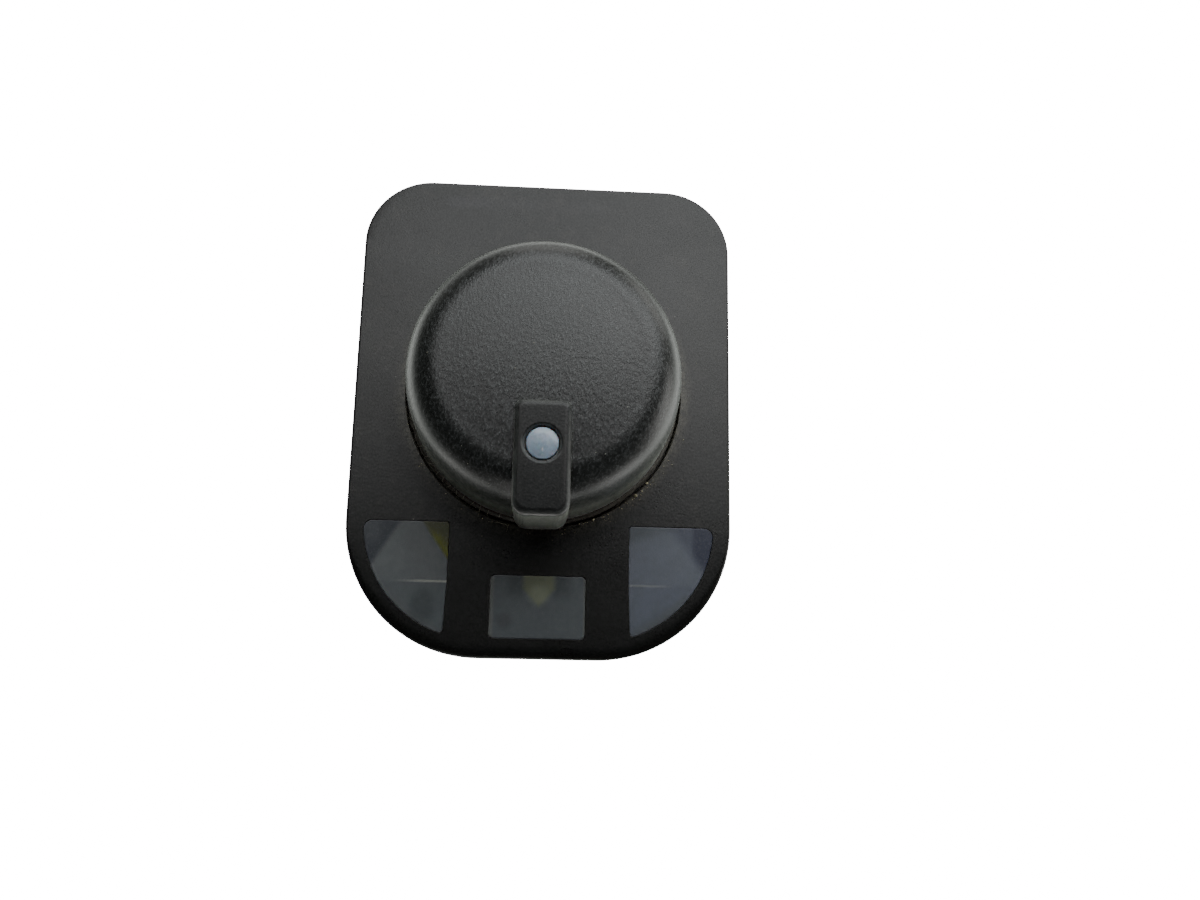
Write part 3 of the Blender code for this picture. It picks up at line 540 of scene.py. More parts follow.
def mid_lens():
    m, x, y, base, cloud, fine = lens_material("center")
    dx = m.math("ABSOLUTE", m.math("SUBTRACT", x, 0.00010))
    under = m.math("MAXIMUM", m.math("SUBTRACT", -0.0178, y), 0.0)
    d = m.math("ADD", dx, m.math("MULTIPLY", under, 0.95))
    c = m.mix(m.math("MULTIPLY", m.span(cloud, 0.35, 0.70), 0.30), (0.099, 0.109, 0.120), base)
    # shaded wedges beside the tongue and in the lower corners
    beside = m.math("MULTIPLY", m.math("MULTIPLY", m.span(dx, 0.0036, 0.0024), m.span(dx, 0.0012, 0.0018)), m.span(y, -0.0192, -0.0176))
    c = m.mix(m.math("MULTIPLY", beside, 0.75), c, (0.060, 0.070, 0.075))
    px, py = m.math("ADD", x, 0.0032), m.math("ADD", y, 0.0209)
    pit = m.math("SQRT", m.math("ADD", m.math("MULTIPLY", px, px), m.math("MULTIPLY", py, py)))
    c = m.mix(m.math("MULTIPLY", m.span(pit, 0.0012, 0.0003), 0.6), c, (0.070, 0.075, 0.082))
    rim = m.math("MULTIPLY", m.span(dx, 0.00420, 0.00455), 0.45)
    c = m.mix(rim, c, (0.156, 0.161, 0.143))
    # warm tongue of light from the middle lamp
    tongue = m.span(d, 0.00190, 0.00110)
    c = m.mix(m.math("MULTIPLY", tongue, 0.85), c, (0.156, 0.166, 0.107))
    bright = m.span(m.math("SQRT", m.math("ADD", m.math("MULTIPLY", dx, dx), m.math("POWER", m.math("ADD", y, 0.0183), 2.0))), 0.00150, 0.0003)
    c = m.mix(m.math("MULTIPLY", bright, 0.55), c, (0.234, 0.255, 0.195))
    return finish_lens(m, c, cloud, fine)


LENS_L, LENS_R, LENS_M = side_lens(-1), side_lens(1), mid_lens()

DOT_MAT = Mat("dot_frosted")
DOT_MAT.set(Specular_IOR_Level=0.5, IOR=1.49, Subsurface_Weight=0.25, Subsurface_Scale=0.0008)
_x, _y, _z = DOT_MAT.xyz()
_n = DOT_MAT.noise(1500, 3, 0.5)
_c = DOT_MAT.mix(DOT_MAT.span(_n, 0.3, 0.7, 0, 1), (0.285, 0.360, 0.450), (0.335, 0.415, 0.510))
_v = DOT_MAT.math("SUBTRACT", _y, DOT_Y * MM)
_r = DOT_MAT.math("SQRT", DOT_MAT.math("ADD", DOT_MAT.math("MULTIPLY", _x, _x), DOT_MAT.math("MULTIPLY", _v, _v)))
# painted reflection: a pale crescent near the upper rim of the dot
_dot_top_glint = DOT_MAT.math("MULTIPLY", DOT_MAT.span(DOT_MAT.math("ADD", _v, DOT_MAT.math("MULTIPLY", _x, 0.45)), 0.0004, 0.0009), DOT_MAT.span(_r, 0.00075, 0.00105))
_c = DOT_MAT.mix(DOT_MAT.math("MULTIPLY", _dot_top_glint, 0.75), _c, (0.52, 0.61, 0.70))
# painted highlight: a small bright streak low on the dot
_s = DOT_MAT.span(DOT_MAT.math("ADD", DOT_MAT.math("ABSOLUTE", DOT_MAT.math("SUBTRACT", _x, 0.00003)), DOT_MAT.math("MULTIPLY", DOT_MAT.math("ABSOLUTE", DOT_MAT.math("ADD", _v, 0.00062)), 0.42)), 0.00013, 0.00005)
_c = DOT_MAT.mix(DOT_MAT.math("MULTIPLY", _s, 0.7), _c, (0.72, 0.74, 0.72))
DOT_MAT.color(_c)
DOT_MAT.rough(DOT_MAT.span(_n, 0.3, 0.7, 0.24, 0.32))
DOT_MAT.normal(DOT_MAT.bump(DOT_MAT.noise(4200, 2, 0.5), 0.000004))

# the base ring's pale brownish colour is partly dust and partly painted light, lifting the shaded gap under the knob
RING_MAT = moulded("ring_satin", (0.080, 0.077, 0.066), (0.170, 0.162, 0.136), 0.46, 4200, 0.000010, specks=0.6)
HOUSE_MAT = moulded("housing_moulded", (0.022, 0.022, 0.023), (0.029, 0.029, 0.030), 0.52, 2600, 0.000016, specks=0.3)
COVER_MAT = moulded("cover_moulded", (0.026, 0.026, 0.028), (0.033, 0.033, 0.035), 0.50, 2600, 0.000016, specks=0.3)
CONN_MAT = moulded("connector_moulded", (0.028, 0.028, 0.030), (0.042, 0.042, 0.044), 0.42, 3600, 0.000008)
WHITE_MAT = moulded("light_box_white", (0.72, 0.72, 0.70), (0.80, 0.80, 0.78), 0.5, 2600, 0.000010)
ACETAL_MAT = moulded("acetal", (0.60, 0.59, 0.55), (0.70, 0.69, 0.65), 0.42, 2400, 0.000008)
GASKET_MAT = moulded("gasket_foam", (0.012, 0.012, 0.012), (0.026, 0.026, 0.026), 0.82, 1800, 0.00006, spec=0.25)
SEAL_MAT = moulded("seal_rubber", (0.012, 0.012, 0.012), (0.020, 0.020, 0.020), 0.45, 3000, 0.00001, spec=0.4)


def metal(name, base, light, rough=0.3, along=(1, 1, 40)):
    m = Mat(name)
    m.set(Metallic=1.0)
    streak = m.noise(900, 4, 0.6, vec=m.stretch(along))
    blot = m.noise(260, 4, 0.6)
    c = m.mix(m.span(streak, 0.35, 0.7), base, light)
    c = m.mix(m.span(blot, 0.55, 0.75, 0, 0.35), c, tuple(v * 0.62 for v in base))
    m.color(c)
    m.rough(m.math("ADD", m.span(streak, 0.3, 0.7, rough - 0.06, rough + 0.08), m.span(blot, 0.5, 0.75, 0.0, 0.12)))
    m.normal(m.bump(streak, 0.000004))
    return m


STEEL = metal("spring_steel", (0.33, 0.33, 0.34), (0.46, 0.46, 0.47), 0.33, (1, 30, 1))
SHAFT = metal("turned_steel", (0.50, 0.50, 0.51), (0.62, 0.62, 0.63), 0.26, (1, 1, 40))
ZINC = metal("zinc_plate", (0.46, 0.46, 0.44), (0.60, 0.60, 0.58), 0.30, (1, 1, 1))
BRASS = metal("turned_brass", (0.60, 0.43, 0.18), (0.74, 0.57, 0.28), 0.30, (1, 1, 40))
TIN = metal("tin_plate", (0.60, 0.59, 0.55), (0.74, 0.73, 0.69), 0.26, (30, 30, 1))
COPPER = metal("contact_copper", (0.62, 0.36, 0.22), (0.76, 0.48, 0.31), 0.28, (1, 30, 1))

BOARD = Mat("board_mask")
_n = BOARD.noise(500, 3, 0.6)
_w = BOARD.cells(420, "DISTANCE_TO_EDGE")
_c = BOARD.mix(BOARD.span(_n, 0.3, 0.7), (0.018, 0.105, 0.040), (0.028, 0.150, 0.060))
BOARD.color(BOARD.mix(BOARD.math("MULTIPLY", BOARD.span(_w, 0.05, 0.02), 0.5), _c, (0.05, 0.22, 0.09)))
BOARD.rough(BOARD.span(_n, 0.3, 0.7, 0.28, 0.40))
BOARD.normal(BOARD.bump(_w, 0.00001))

LED_MAT = moulded("led_body", (0.66, 0.62, 0.44), (0.80, 0.78, 0.66), 0.35, 3000, 0.000006)
RES_MAT = moulded("resistor_glaze", (0.030, 0.030, 0.034), (0.048, 0.048, 0.052), 0.32, 3000, 0.000006)
GUIDE_MAT = moulded("light_guide", (0.62, 0.68, 0.74), (0.72, 0.78, 0.84), 0.22, 1800, 0.000004)

FINISH = {
    "flange_gasket": GASKET_MAT, "housing": HOUSE_MAT, "rear_cover": COVER_MAT, "connector_shroud": CONN_MAT,
    "circuit_board": BOARD, "common_track": COPPER, "light_box": WHITE_MAT, "pointer_light_guide": GUIDE_MAT,
    "shaft_bush": BRASS, "detent_leaf_spring": STEEL, "spindle": SHAFT, "knob_spring_insert": STEEL,
    "shaft_o_ring": SEAL_MAT, "wave_washer": STEEL, "shaft_circlip": STEEL, "detent_wheel": ACETAL_MAT,
    "contact_rotor": ACETAL_MAT, "contact_wiper_front": COPPER, "contact_wiper_rear": COPPER,
}
for name, ob in NODES.items():
    mat = FINISH.get(name)
    if mat is None:
        for start, m in (("led_", LED_MAT), ("resistor_", RES_MAT), ("terminal_pin", TIN), ("cover_screw", ZINC), ("panel_clip", STEEL), ("position_pad", COPPER)):
            if name.startswith(start):
                mat = m
    if mat is not None:
        ob.data.materials.clear()
        ob.data.materials.append(mat.m)

# ------------------------------------------------------------ faceplate
steps = 8


def rolled(f):
    """Outline part way (0 to 1) up the rounded edge; the roll widens along the bottom."""
    base = outline(0.0)
    full = outline(EDGE)
    wide = outline(1.15)
    out = []
    for p, q, w in zip(base, full, wide):
        k = min(max((-p[1] - 13.0) / 8.0, 0.0), 1.0)
        k = k * k * (3 - 2 * k)
        ex, ey = q[0] + (w[0] - q[0]) * k, q[1] + (w[1] - q[1]) * k
        out.append((p[0] + (ex - p[0]) * f, p[1] + (ey - p[1]) * f))
    return out


levels = [(BACK_Z, outline(0.12)), (BACK_Z + 0.12, outline(0.0))]
for i in range(steps + 1):
    a = math.radians(90 * i / steps)
    levels.append((FACE_Z - 0.45 + 0.45 * math.sin(a), rolled(1 - math.cos(a))))
levels.append((FACE_Z, outline(1.2)))
plate = loft("faceplate_shell", levels)
H_LO, H_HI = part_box("housing")
inner_x = PLATE_W / 2 - 4.0
adds = [lathe("t", [(0, 20.6), (5.7, 20.6), (5.9, 20.8), (5.9, BACK_Z + 0.5), (0, BACK_Z + 0.5)], 64, (AX, AY))]
for side in (1, -1):
    for hy in (12.0, -3.6):
        prof = [(inner_x - 1.45, 21.6), (inner_x + 0.95, 22.5), (inner_x + 0.95, 23.0), (inner_x - 0.30, 23.0), (inner_x - 0.30, BACK_Z + 0.5), (inner_x - 1.45, BACK_Z + 0.5)]
        vs = [(side * px, hy + d, pz) for d in (-1.6, 1.6) for px, pz in prof]
        n = len(prof)
        fs = [list(range(n)), list(range(n, 2 * n))[::-1]] + [[i, (i + 1) % n, n + (i + 1) % n, n + i] for i in range(n)]
        adds.append(solid("t", vs, fs))
combine(plate, adds, "UNION")


def lip(low, pts_at, r=0.045):
    """Cutter that rounds over the rim where it meets the face."""
    out = [(low, pts_at(0.0)), (FACE_Z - r, pts_at(0.0))]
    for i in range(1, 5):
        a = math.radians(90 * i / 4)
        out.append((FACE_Z - r + r * math.sin(a), pts_at(-r * (1 - math.cos(a)))))
    out.append((FACE_Z + 1, pts_at(-r)))
    return out


WELL_R = 13.85
recess = [(0, FACE_Z - 1.0), (WELL_R - 0.2, FACE_Z - 1.0), (WELL_R - 0.05, FACE_Z - 0.92), (WELL_R, FACE_Z - 0.75), (WELL_R, FACE_Z - 0.10)]
for i in range(1, 5):
    a = math.radians(90 * i / 4)
    recess.append((WELL_R + 0.10 * (1 - math.cos(a)), FACE_Z - 0.10 + 0.10 * math.sin(a)))
recess += [(WELL_R + 0.10, FACE_Z + 1), (0, FACE_Z + 1)]
cuts = [lathe("t", recess, 180, (AX, AY)), lathe("t", [(0, 15), (4.6, 15), (4.6, FACE_Z + 1), (0, FACE_Z + 1)], 64, (AX, AY))]
slot = [(px + AX, py + AY) for px, py in arc(0, 0, 9.35, -142, -38, 40) + arc(0, 0, 6.3, -38, -142, 40)]
cuts.append(loft("t", [(BACK_Z - 1, slot), (FACE_Z + 1, slot)]))
for side in (1, -1):
    cuts.append(loft("t", lip(BACK_Z - 1, lambda o, s=side: side_window(o, s))))
cuts.append(loft("t", lip(BACK_Z - 1, mid_window)))
combine(plate, cuts, "DIFFERENCE", 40)
cover_with(plate, PLATE_MAT)
even_normals(plate)
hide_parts("faceplate")
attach(plate, "base")

# --------------------------------------------------------------- lenses
LENS_TOP = S_HI.z / MM


def lens(name, pts_at, mat, node, crease=None):
    base = S_LO.z / MM
    lv = [(FACE_Z - 2.25, pts_at(0.08))]
    r = 0.05
    for i in range(5):
        a = math.radians(90 * i / 4)
        lv.append((LENS_TOP - r + r * math.sin(a), pts_at(0.014 + r * (1 - math.cos(a)))))
    lv.append((LENS_TOP, pts_at(0.014 + r + 0.12)))
    ob = loft(name, lv)
    lo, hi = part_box(node)
    if crease is not None:
        bm = bmesh.new()
        bm.from_mesh(ob.data)
        for cy in (crease + 0.15, crease + 0.05, crease - 0.05, crease - 0.15):
            geo = list(bm.verts) + list(bm.edges) + list(bm.faces)
            bmesh.ops.bisect_plane(bm, geom=geo, plane_co=(0, cy * MM, 0), plane_no=(0, 1, 0))
        for v in bm.verts:
            if v.co.z > (LENS_TOP - 0.2) * MM:
                d = crease - v.co.y / MM
                if d > -0.15:
                    soft = (d + 0.15) ** 2 / 0.6 if d < 0.15 else d
                    v.co.z -= soft * 0.050 * MM
        bm.to_mesh(ob.data)
        bm.free()
        ob.data.shade_smooth()
        ob.data.set_sharp_from_angle(angle=math.radians(30))
    cover_with(ob, mat)
    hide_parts(node)
    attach(ob, "base")
    return ob


lens("lens_left", lambda o: side_window(o, -1), LENS_L, "window_lens_left", CREASE_Y)
lens("lens_right", lambda o: side_window(o, 1), LENS_R, "window_lens_right", CREASE_Y)
lens("lens_center", mid_window, LENS_M, "window_lens_center")

# ------------------------------------------- housing, cover and gasket
COLUMNS = ((12.5, 18.05), (-12.5, 18.05), (12.8, -8.2), (-12.8, -8.2))
INSET, WALL = 2.6, 1.4
HX = PLATE_W / 2 - INSET
H0, H1 = H_LO.z / MM, H_HI.z / MM


def post(c, r, z0, z1, edge=0.25):
    return lathe("t", [(0, z0), (r - edge, z0), (r, z0 + edge), (r, z1 - edge), (r - edge, z1), (0, z1)], 40, c)


house = loft("housing_shell", [(H0, outline(INSET + 0.22)), (H0 + 0.07, outline(INSET + 0.08)), (H0 + 0.22, outline(INSET)), (H1 - 0.2, outline(INSET)), (H1, outline(INSET + 0.2))])
combine(house, loft("t", [(H0 - 1, outline(INSET + WALL)), (H1 + 1, outline(INSET + WALL))]), "DIFFERENCE")
adds = [post(c, 2.4, 12.7, 25.6) for c in COLUMNS]
for side in (1, -1):
    adds.append(block("t", sorted((side * 9.2, side * 10.8)), (12.5, PLATE_H / 2 - INSET - WALL + 0.4), (14.8, 19.0), 0.12))
    for y0 in (-0.8, 8.6):
        adds.append(block("t", sorted((side * (HX - 0.5), side * (HX + 1.2))), (y0, y0 + 1.0), (4.0, 13.0), 0.14))
combine(house, adds, "UNION")
cuts = [lathe("t", [(0, 11.4), (1.08, 11.4), (1.08, 20.5), (0, 20.5)], 24, c) for c in COLUMNS]
for side in (1, -1):
    cuts.append(block("t", sorted((side * 9.0, side * 10.1)), (13.1, 13.9), (15.2, 20.0)))
    for hy in (12.0, -3.6):
        cuts.append(block("t", sorted((side * (inner_x - 1.0), side * (inner_x + 3.0))), (hy - 1.9, hy + 1.9), (21.2, 23.3), 0.12))
combine(house, cuts, "DIFFERENCE", 35)
cover_with(house, HOUSE_MAT)
even_normals(house)
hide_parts("housing")
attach(house, "base")

C_LO, C_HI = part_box("rear_cover")
back = loft("cover_plate", [(0.0, outline(INSET + 0.45)), (0.05, outline(INSET + 0.24)), (0.22, outline(INSET + 0.06)), (0.45, outline(INSET)), (1.72, outline(INSET)), (1.8, outline(INSET + 0.08))])
lip_ring = loft("t", [(1.5, outline(INSET + WALL + 0.25)), (4.2, outline(INSET + WALL + 0.25)), (4.4, outline(INSET + WALL + 0.40))])
combine(lip_ring, loft("t", [(1.0, outline(INSET + WALL + 1.25)), (5.0, outline(INSET + WALL + 1.25))]), "DIFFERENCE")
combine(back, [lip_ring] + [post(c, 1.95, 1.5, 10.6, 0.15) for c in COLUMNS], "UNION")
cuts = [block("t", (-8.75, 8.75), (7.65, 19.15), (-1, 8), 0.0)]
cuts += [lathe("t", [(0, -1), (2.45, -1), (2.45, 0.0), (2.28, 0.06), (2.2, 0.22), (2.2, 1.3), (1.18, 1.3), (1.18, 11.8), (0, 11.8)], 40, c) for c in COLUMNS]
combine(back, cuts, "DIFFERENCE", 35)
cover_with(back, COVER_MAT)
even_normals(back)
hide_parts("rear_cover")
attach(back, "base")

GA_LO, GA_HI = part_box("flange_gasket")
g0, g1 = GA_LO.z / MM, GA_HI.z / MM
pad = loft("gasket_pad", [(g0, outline(0.62)), (g0 + 0.10, outline(0.52)), (g0 + 0.22, outline(0.5)), (g1 - 0.22, outline(0.5)), (g1 - 0.10, outline(0.52)), (g1, outline(0.62))])
combine(pad, loft("t", [(g0 - 1, outline(INSET - 0.25)), (g1 + 1, outline(INSET - 0.25))]), "DIFFERENCE", 35)
cover_with(pad, GASKET_MAT)
even_normals(pad)
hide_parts("flange_gasket")
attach(pad, "base")

# ------------------------------------------------------- panel clips
def bent(path, reach, steps=6):
    """A bent path with its corners rounded: points and unit normals."""
    pts = [path[0]]
    for a, b, c in zip(path, path[1:], path[2:]):
        la, lc = math.dist(a, b), math.dist(b, c)
        d = min(reach, 0.46 * la, 0.46 * lc)
        p = [b[i] + (a[i] - b[i]) * d / la for i in (0, 1)]
        q = [b[i] + (c[i] - b[i]) * d / lc for i in (0, 1)]
        for k in range(steps + 1):
            t = k / steps
            pts.append(tuple((1 - t) ** 2 * p[i] + 2 * t * (1 - t) * b[i] + t * t * q[i] for i in (0, 1)))
    pts.append(path[-1])
    out = []
    for i, p in enumerate(pts):
        a, c = pts[max(i - 1, 0)], pts[min(i + 1, len(pts) - 1)]
        d = math.dist(a, c)
        out.append((p, (-(c[1] - a[1]) / d, (c[0] - a[0]) / d)))
    return out


for side, node in ((-1, "panel_clip_left"), (1, "panel_clip_right")):
    path = [(HX + 0.45, 4.4), (HX + 0.45, 12.6), (HX + 0.75, 14.5), (HX + 1.95, 21.2), (HX + 2.05, 21.9), (HX + 1.85, 22.5), (HX + 0.60, 25.0)]
    line = bent([(side * x, z) for x, z in path], 1.3)
    levels = []
    for y, h in ((0.4, 0.12), (0.43, 0.17), (0.49, 0.2), (8.31, 0.2), (8.37, 0.17), (8.4, 0.12)):
        levels.append((y, [(p[0] + n[0] * h, p[1] + n[1] * h) for p, n in line] + [(p[0] - n[0] * h, p[1] - n[1] * h) for p, n in line[::-1]]))
    strip = loft(node + "_strip", levels, None)
    for v in strip.data.vertices:
        v.co = Vector((v.co.x, v.co.z, v.co.y))
    bm = bmesh.new()
    bm.from_mesh(strip.data)
    bmesh.ops.recalc_face_normals(bm, faces=bm.faces)
    bm.to_mesh(strip.data)
    bm.free()
    strip.data.shade_smooth()
    strip.data.set_sharp_from_angle(angle=math.radians(50))
    cover_with(strip, STEEL)
    even_normals(strip)
    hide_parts(node)
    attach(strip, "base")

# ----------------------------------------------------------------- knob
SR, SQ = 3.95, 2 / 2.35
prof = [(0.0, CROWN)]
for i in range(1, 13):
    r = (KNOB_R - SR) * i / 12
    prof.append((r, CROWN - 0.40 * (r / (KNOB_R - SR)) ** 2))
z_top = CROWN - 0.40
for i in range(1, 33):
    a = math.radians(90 * i / 32)
    prof.append((KNOB_R - SR + SR * math.sin(a) ** SQ, OUT_Z + (z_top - OUT_Z) * max(math.cos(a), 0.0) ** SQ))
prof += [(KNOB_R + 0.03, OUT_Z - 1.2), (KNOB_R + 0.06, OUT_Z - 2.2), (KNOB_R + 0.08, KNOB_LOW + 0.35)]
for i in range(1, 6):
    a = math.radians(90 * i / 5)
    prof.append((KNOB_R + 0.08 - 0.22 * (1 - math.cos(a)), KNOB_LOW + 0.22 - 0.22 * math.sin(a)))
IR = KNOB_R - 1.6
TI = CROWN - 2.0
prof += [(IR, KNOB_LOW), (IR, WALL_Z - 0.4), (IR - 0.9, WALL_Z + 2.0), (IR - 3.2, TI - 0.5), (4.7, TI), (4.7, KNOB_LOW + 0.8), (3.08, KNOB_LOW + 0.8), (3.08, TI - 0.8), (0.0, TI - 0.8)]
knob = lathe("knob_cap", prof, 224, (AX, AY), 40)

BW, NEAR, FAR = 5.2, 3.75, 14.3


def bar_outline(inset):
    w = BW / 2 - inset
    near, far = -(NEAR + inset), -(FAR - inset)
    rn, rf = 0.80 - inset * 0.8, 1.30 - inset
    p = arc(w - rf, far + rf, rf, -90, 0, 8)
    p += arc(w - rn, near - rn, rn, 0, 90, 6)
    p += arc(-w + rn, near - rn, rn, 90, 180, 6)
    p += arc(-w + rf, far + rf, rf, 180, 270, 8)
    return [(px + AX, py + AY) for px, py in p]


ER = 0.62
levels = [(FACE_Z + 1.7, bar_outline(0.45)), (FACE_Z + 1.8, bar_outline(0.2)), (FACE_Z + 2.1, bar_outline(0.0))]
for i in range(9):
    a = math.radians(90 * i / 8)
    levels.append((BAR_TOP - ER + ER * math.sin(a), bar_outline(ER * (1 - math.cos(a)))))
levels.append((BAR_TOP, bar_outline(ER + 0.10)))
bar = loft("pointer_bar", levels)
inner = lathe("t", [(0, KNOB_LOW - 1), (IR + 0.6, KNOB_LOW - 1), (IR + 0.6, WALL_Z - 0.3), (IR - 0.3, WALL_Z + 2.1), (IR - 3.2, TI + 0.2), (0, TI + 0.2)], 96, (AX, AY))
combine(bar, inner, "DIFFERENCE")
boss = lathe("t", [(0, KNOB_LOW + 0.8), (2.4, KNOB_LOW + 0.8), (2.4, CROWN - 0.8), (0, CROWN - 0.8)], 48, (AX, DOT_Y))
combine(knob, boss, "UNION")
well = [(0, KNOB_LOW - 1), (1.56, KNOB_LOW - 1), (1.56, BAR_TOP - 0.44), (1.66, BAR_TOP - 0.20), (1.71, BAR_TOP - 0.09), (1.80, BAR_TOP - 0.02), (1.90, BAR_TOP + 0.003), (1.90, BAR_TOP + 1), (0, BAR_TOP + 1)]
combine(knob, lathe("t", well, 72, (AX, DOT_Y)), "DIFFERENCE")
combine(bar, lathe("t", well, 72, (AX, DOT_Y)), "DIFFERENCE")
cover_with(knob, KNOB_MAT)
cover_with(bar, BAR_MAT)
even_normals(bar)
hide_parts("knob")
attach(knob, "knob")
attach(bar, "knob")

# -------------------------------------------------------- lit dot, ring
dot_low, dot_top = D_LO.z / MM, D_HI.z / MM
prof = [(0, dot_low), (DOT_R, dot_low), (DOT_R, BAR_TOP - 0.42)]
for i in range(1, 9):
    a = math.radians(90 * i / 8)
    prof.append((DOT_R - 0.16 * (1 - math.cos(a)), BAR_TOP - 0.42 + 0.14 * math.sin(a)))
edge_r, edge_z = prof[-1]
for i in range(1, 9):
    r = edge_r * (1 - i / 8)
    prof.append((r if i < 8 else 0.0, edge_z + (dot_top - edge_z) * (1 - (r / edge_r) ** 2)))
dot = lathe("pointer_dot", prof, 72, (AX, DOT_Y), 50)
cover_with(dot, DOT_MAT)
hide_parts("pointer_light_pipe")
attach(dot, "knob")

g0, g1 = G_LO.z / MM, G_HI.z / MM
GR = (G_HI.x - G_LO.x) / 2 / MM
prof = [(11.3, g0), (GR - 0.15, g0), (GR - 0.03, g0 + 0.06), (GR, g0 + 0.2), (GR, g1 - 0.26), (GR - 0.02, g1 - 0.19), (GR - 0.20, g1 - 0.03), (GR - 0.27, g1), (12.4, g1), (11.3, g1)]
ring = lathe("base_ring", prof, 180, (AX, AY), 40)
cover_with(ring, RING_MAT)
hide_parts("knob_base_ring")
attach(ring, "knob")

# --------------------------------------------- dust caught round the foot
def grains(name, spots, mat, body):
    """Small irregular grains: (x, y, z, size) in mm each."""
    rnd = random.Random(name)
    bm = bmesh.new()
    for x, y, z, size in spots:
        g = bmesh.ops.create_icosphere(bm, subdivisions=2, radius=0.5)["verts"]
        turn = Matrix.Rotation(rnd.uniform(0, 6.28), 3, Vector((rnd.uniform(-1, 1), rnd.uniform(-1, 1), 1)).normalized())
        stretch = Vector((rnd.uniform(0.7, 1.3), rnd.uniform(0.6, 1.0), rnd.uniform(0.45, 0.8)))
        phase = rnd.uniform(0, 6.28)
        for v in g:
            wob = 1 + 0.16 * math.sin(9 * v.co.x + phase) + 0.13 * math.sin(11 * v.co.y - phase)
            v.co = turn @ Vector((v.co.x * stretch.x, v.co.y * stretch.y, v.co.z * stretch.z)) * wob * size
            v.co = (v.co + Vector((x, y, z + size * 0.25))) * MM
    me = bpy.data.meshes.new(name)
    bm.to_mesh(me)
    bm.free()
    me.shade_smooth()
    ob = bpy.data.objects.new(name, me)
    bpy.context.scene.collection.objects.link(ob)
    cover_with(ob, mat)
    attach(ob, body)
    return ob


def fibre(name, paths, r, mat, body):
    """Fine hairs, each along a smooth path."""
    cu = bpy.data.curves.new(name, "CURVE")
    cu.dimensions = "3D"
    cu.bevel_depth = r * MM
    cu.bevel_resolution = 1
    cu.use_fill_caps = True
    for pts in paths:
        sp = cu.splines.new("NURBS")
        sp.points.add(len(pts) - 1)
        for q, p in zip(sp.points, pts):
            q.co = (p[0] * MM, p[1] * MM, p[2] * MM, 1)
        sp.use_endpoint_u = True
        sp.order_u = 3
        sp.resolution_u = 6
    ob = bpy.data.objects.new(name, cu)
    bpy.context.scene.collection.objects.link(ob)
    ob.data.materials.append(mat.m)
    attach(ob, body)
    return ob


def around(r, deg, z, size):
    a = math.radians(deg)
    return (AX + r * math.cos(a), AY + r * math.sin(a), z, size)


DUST = moulded("dust_grain", (0.44, 0.41, 0.27), (0.62, 0.58, 0.42), 0.7, 6000, 0.00001, spec=0.3)
HAIR = moulded("dust_fibre", (0.27, 0.26, 0.20), (0.40, 0.39, 0.32), 0.7, 6000, 0.00001, spec=0.3)
rnd = random.Random(5)
spots = [around(14.05, -48, FACE_Z, 0.44), around(13.95, -41, FACE_Z, 0.30), around(14.0, -68, FACE_Z, 0.30), around(13.95, -74, FACE_Z, 0.17), around(14.9, -18, FACE_Z, 0.14)]
for k in range(54):
    # a litter of finer dust along the lower side of the foot
    lo, hi = ((-82, -28) if k % 5 else (-165, -100))
    spots.append(around(13.95 + abs(rnd.gauss(0, 0.28)), rnd.uniform(lo, hi), FACE_Z - 0.02, rnd.uniform(0.06, 0.14)))
for k in range(14):
    spots.append((rnd.uniform(-17, 17), rnd.uniform(-12, 22), FACE_Z - 0.02, rnd.uniform(0.05, 0.08)))
spots = [p for p in spots if math.hypot(p[0] - AX, p[1] - AY) > 13.7]
grains("foot_dust", spots, DUST, "base")


def crown_z(r):
    """Height of the knob's outer surface at radius r."""
    if r < KNOB_R - SR:
        return CROWN - 0.40 * (r / (KNOB_R - SR)) ** 2
    u = min((r - KNOB_R + SR) / SR, 0.999)
    return OUT_Z + (CROWN - 0.40 - OUT_Z) * (1 - u ** (2 / SQ)) ** (SQ / 2)


spots = []
for x, y, size in ((4.8, -8.4, 0.11), (5.65, -8.5, 0.15), (7.6, -4.1, 0.13), (-6.6, -9.6, 0.14), (-7.2, -8.1, 0.10), (-4.7, -11.2, 0.10), (3.1, 4.4, 0.07), (-2.6, 7.3, 0.07), (-8.9, 2.2, 0.07)):
    spots.append((AX + x, AY + y, crown_z(math.hypot(x, y)), size))
spots += [(AX - 0.7, AY - 10.5, BAR_TOP, 0.14), (AX + 1.1, AY - 6.0, BAR_TOP, 0.06), (AX - 1.6, AY - 5.1, BAR_TOP, 0.06), (AX + 0.2, AY - 11.3, BAR_TOP, 0.06)]
grains("knob_dust", [(x, y, min(z - 0.35 * size, BAR_TOP - 0.80 * size), size) for x, y, z, size in spots], moulded("dust_pale", (0.24, 0.25, 0.21), (0.34, 0.34, 0.29), 0.7, 6000, 0.00001, spec=0.3), "knob")
fibre("plate_lint", [[(-5.05, -11.35, 30.05), (-4.5, -11.40, 30.22), (-3.8, -11.45, 30.32), (-3.1, -11.70, 30.12)], [(-3.25, -12.25, 30.05), (-3.12, -12.00, 30.20), (-3.2, -11.75, 30.1)]], 0.03, HAIR, "base")
hairs = []
for deg in (-152, -147, -143, -139, -136, -131, -128, -124, -119, -116, -112, -107):
    reach, lean = rnd.uniform(0.25, 0.55), rnd.uniform(-2.2, 1.2)
    a, b = around(13.30, deg, 30.95, 0), around(13.34 + reach, deg + lean, rnd.uniform(30.3, 30.6), 0)
    hairs.append([a[:3], ((a[0] + b[0]) / 2, (a[1] + b[1]) / 2 - 0.05, 30.85), b[:3]])
fibre("knob_lint", hairs, 0.028, HAIR, "knob")

# ---------------------------------------------------------- camera, floor
cam = bpy.data.cameras.new("camera")
cam.sensor_width = 36.0
cam.lens = 30.9
cam.clip_start, cam.clip_end = 0.002, 20
camera = bpy.data.objects.new("camera", cam)
bpy.context.scene.collection.objects.link(camera)


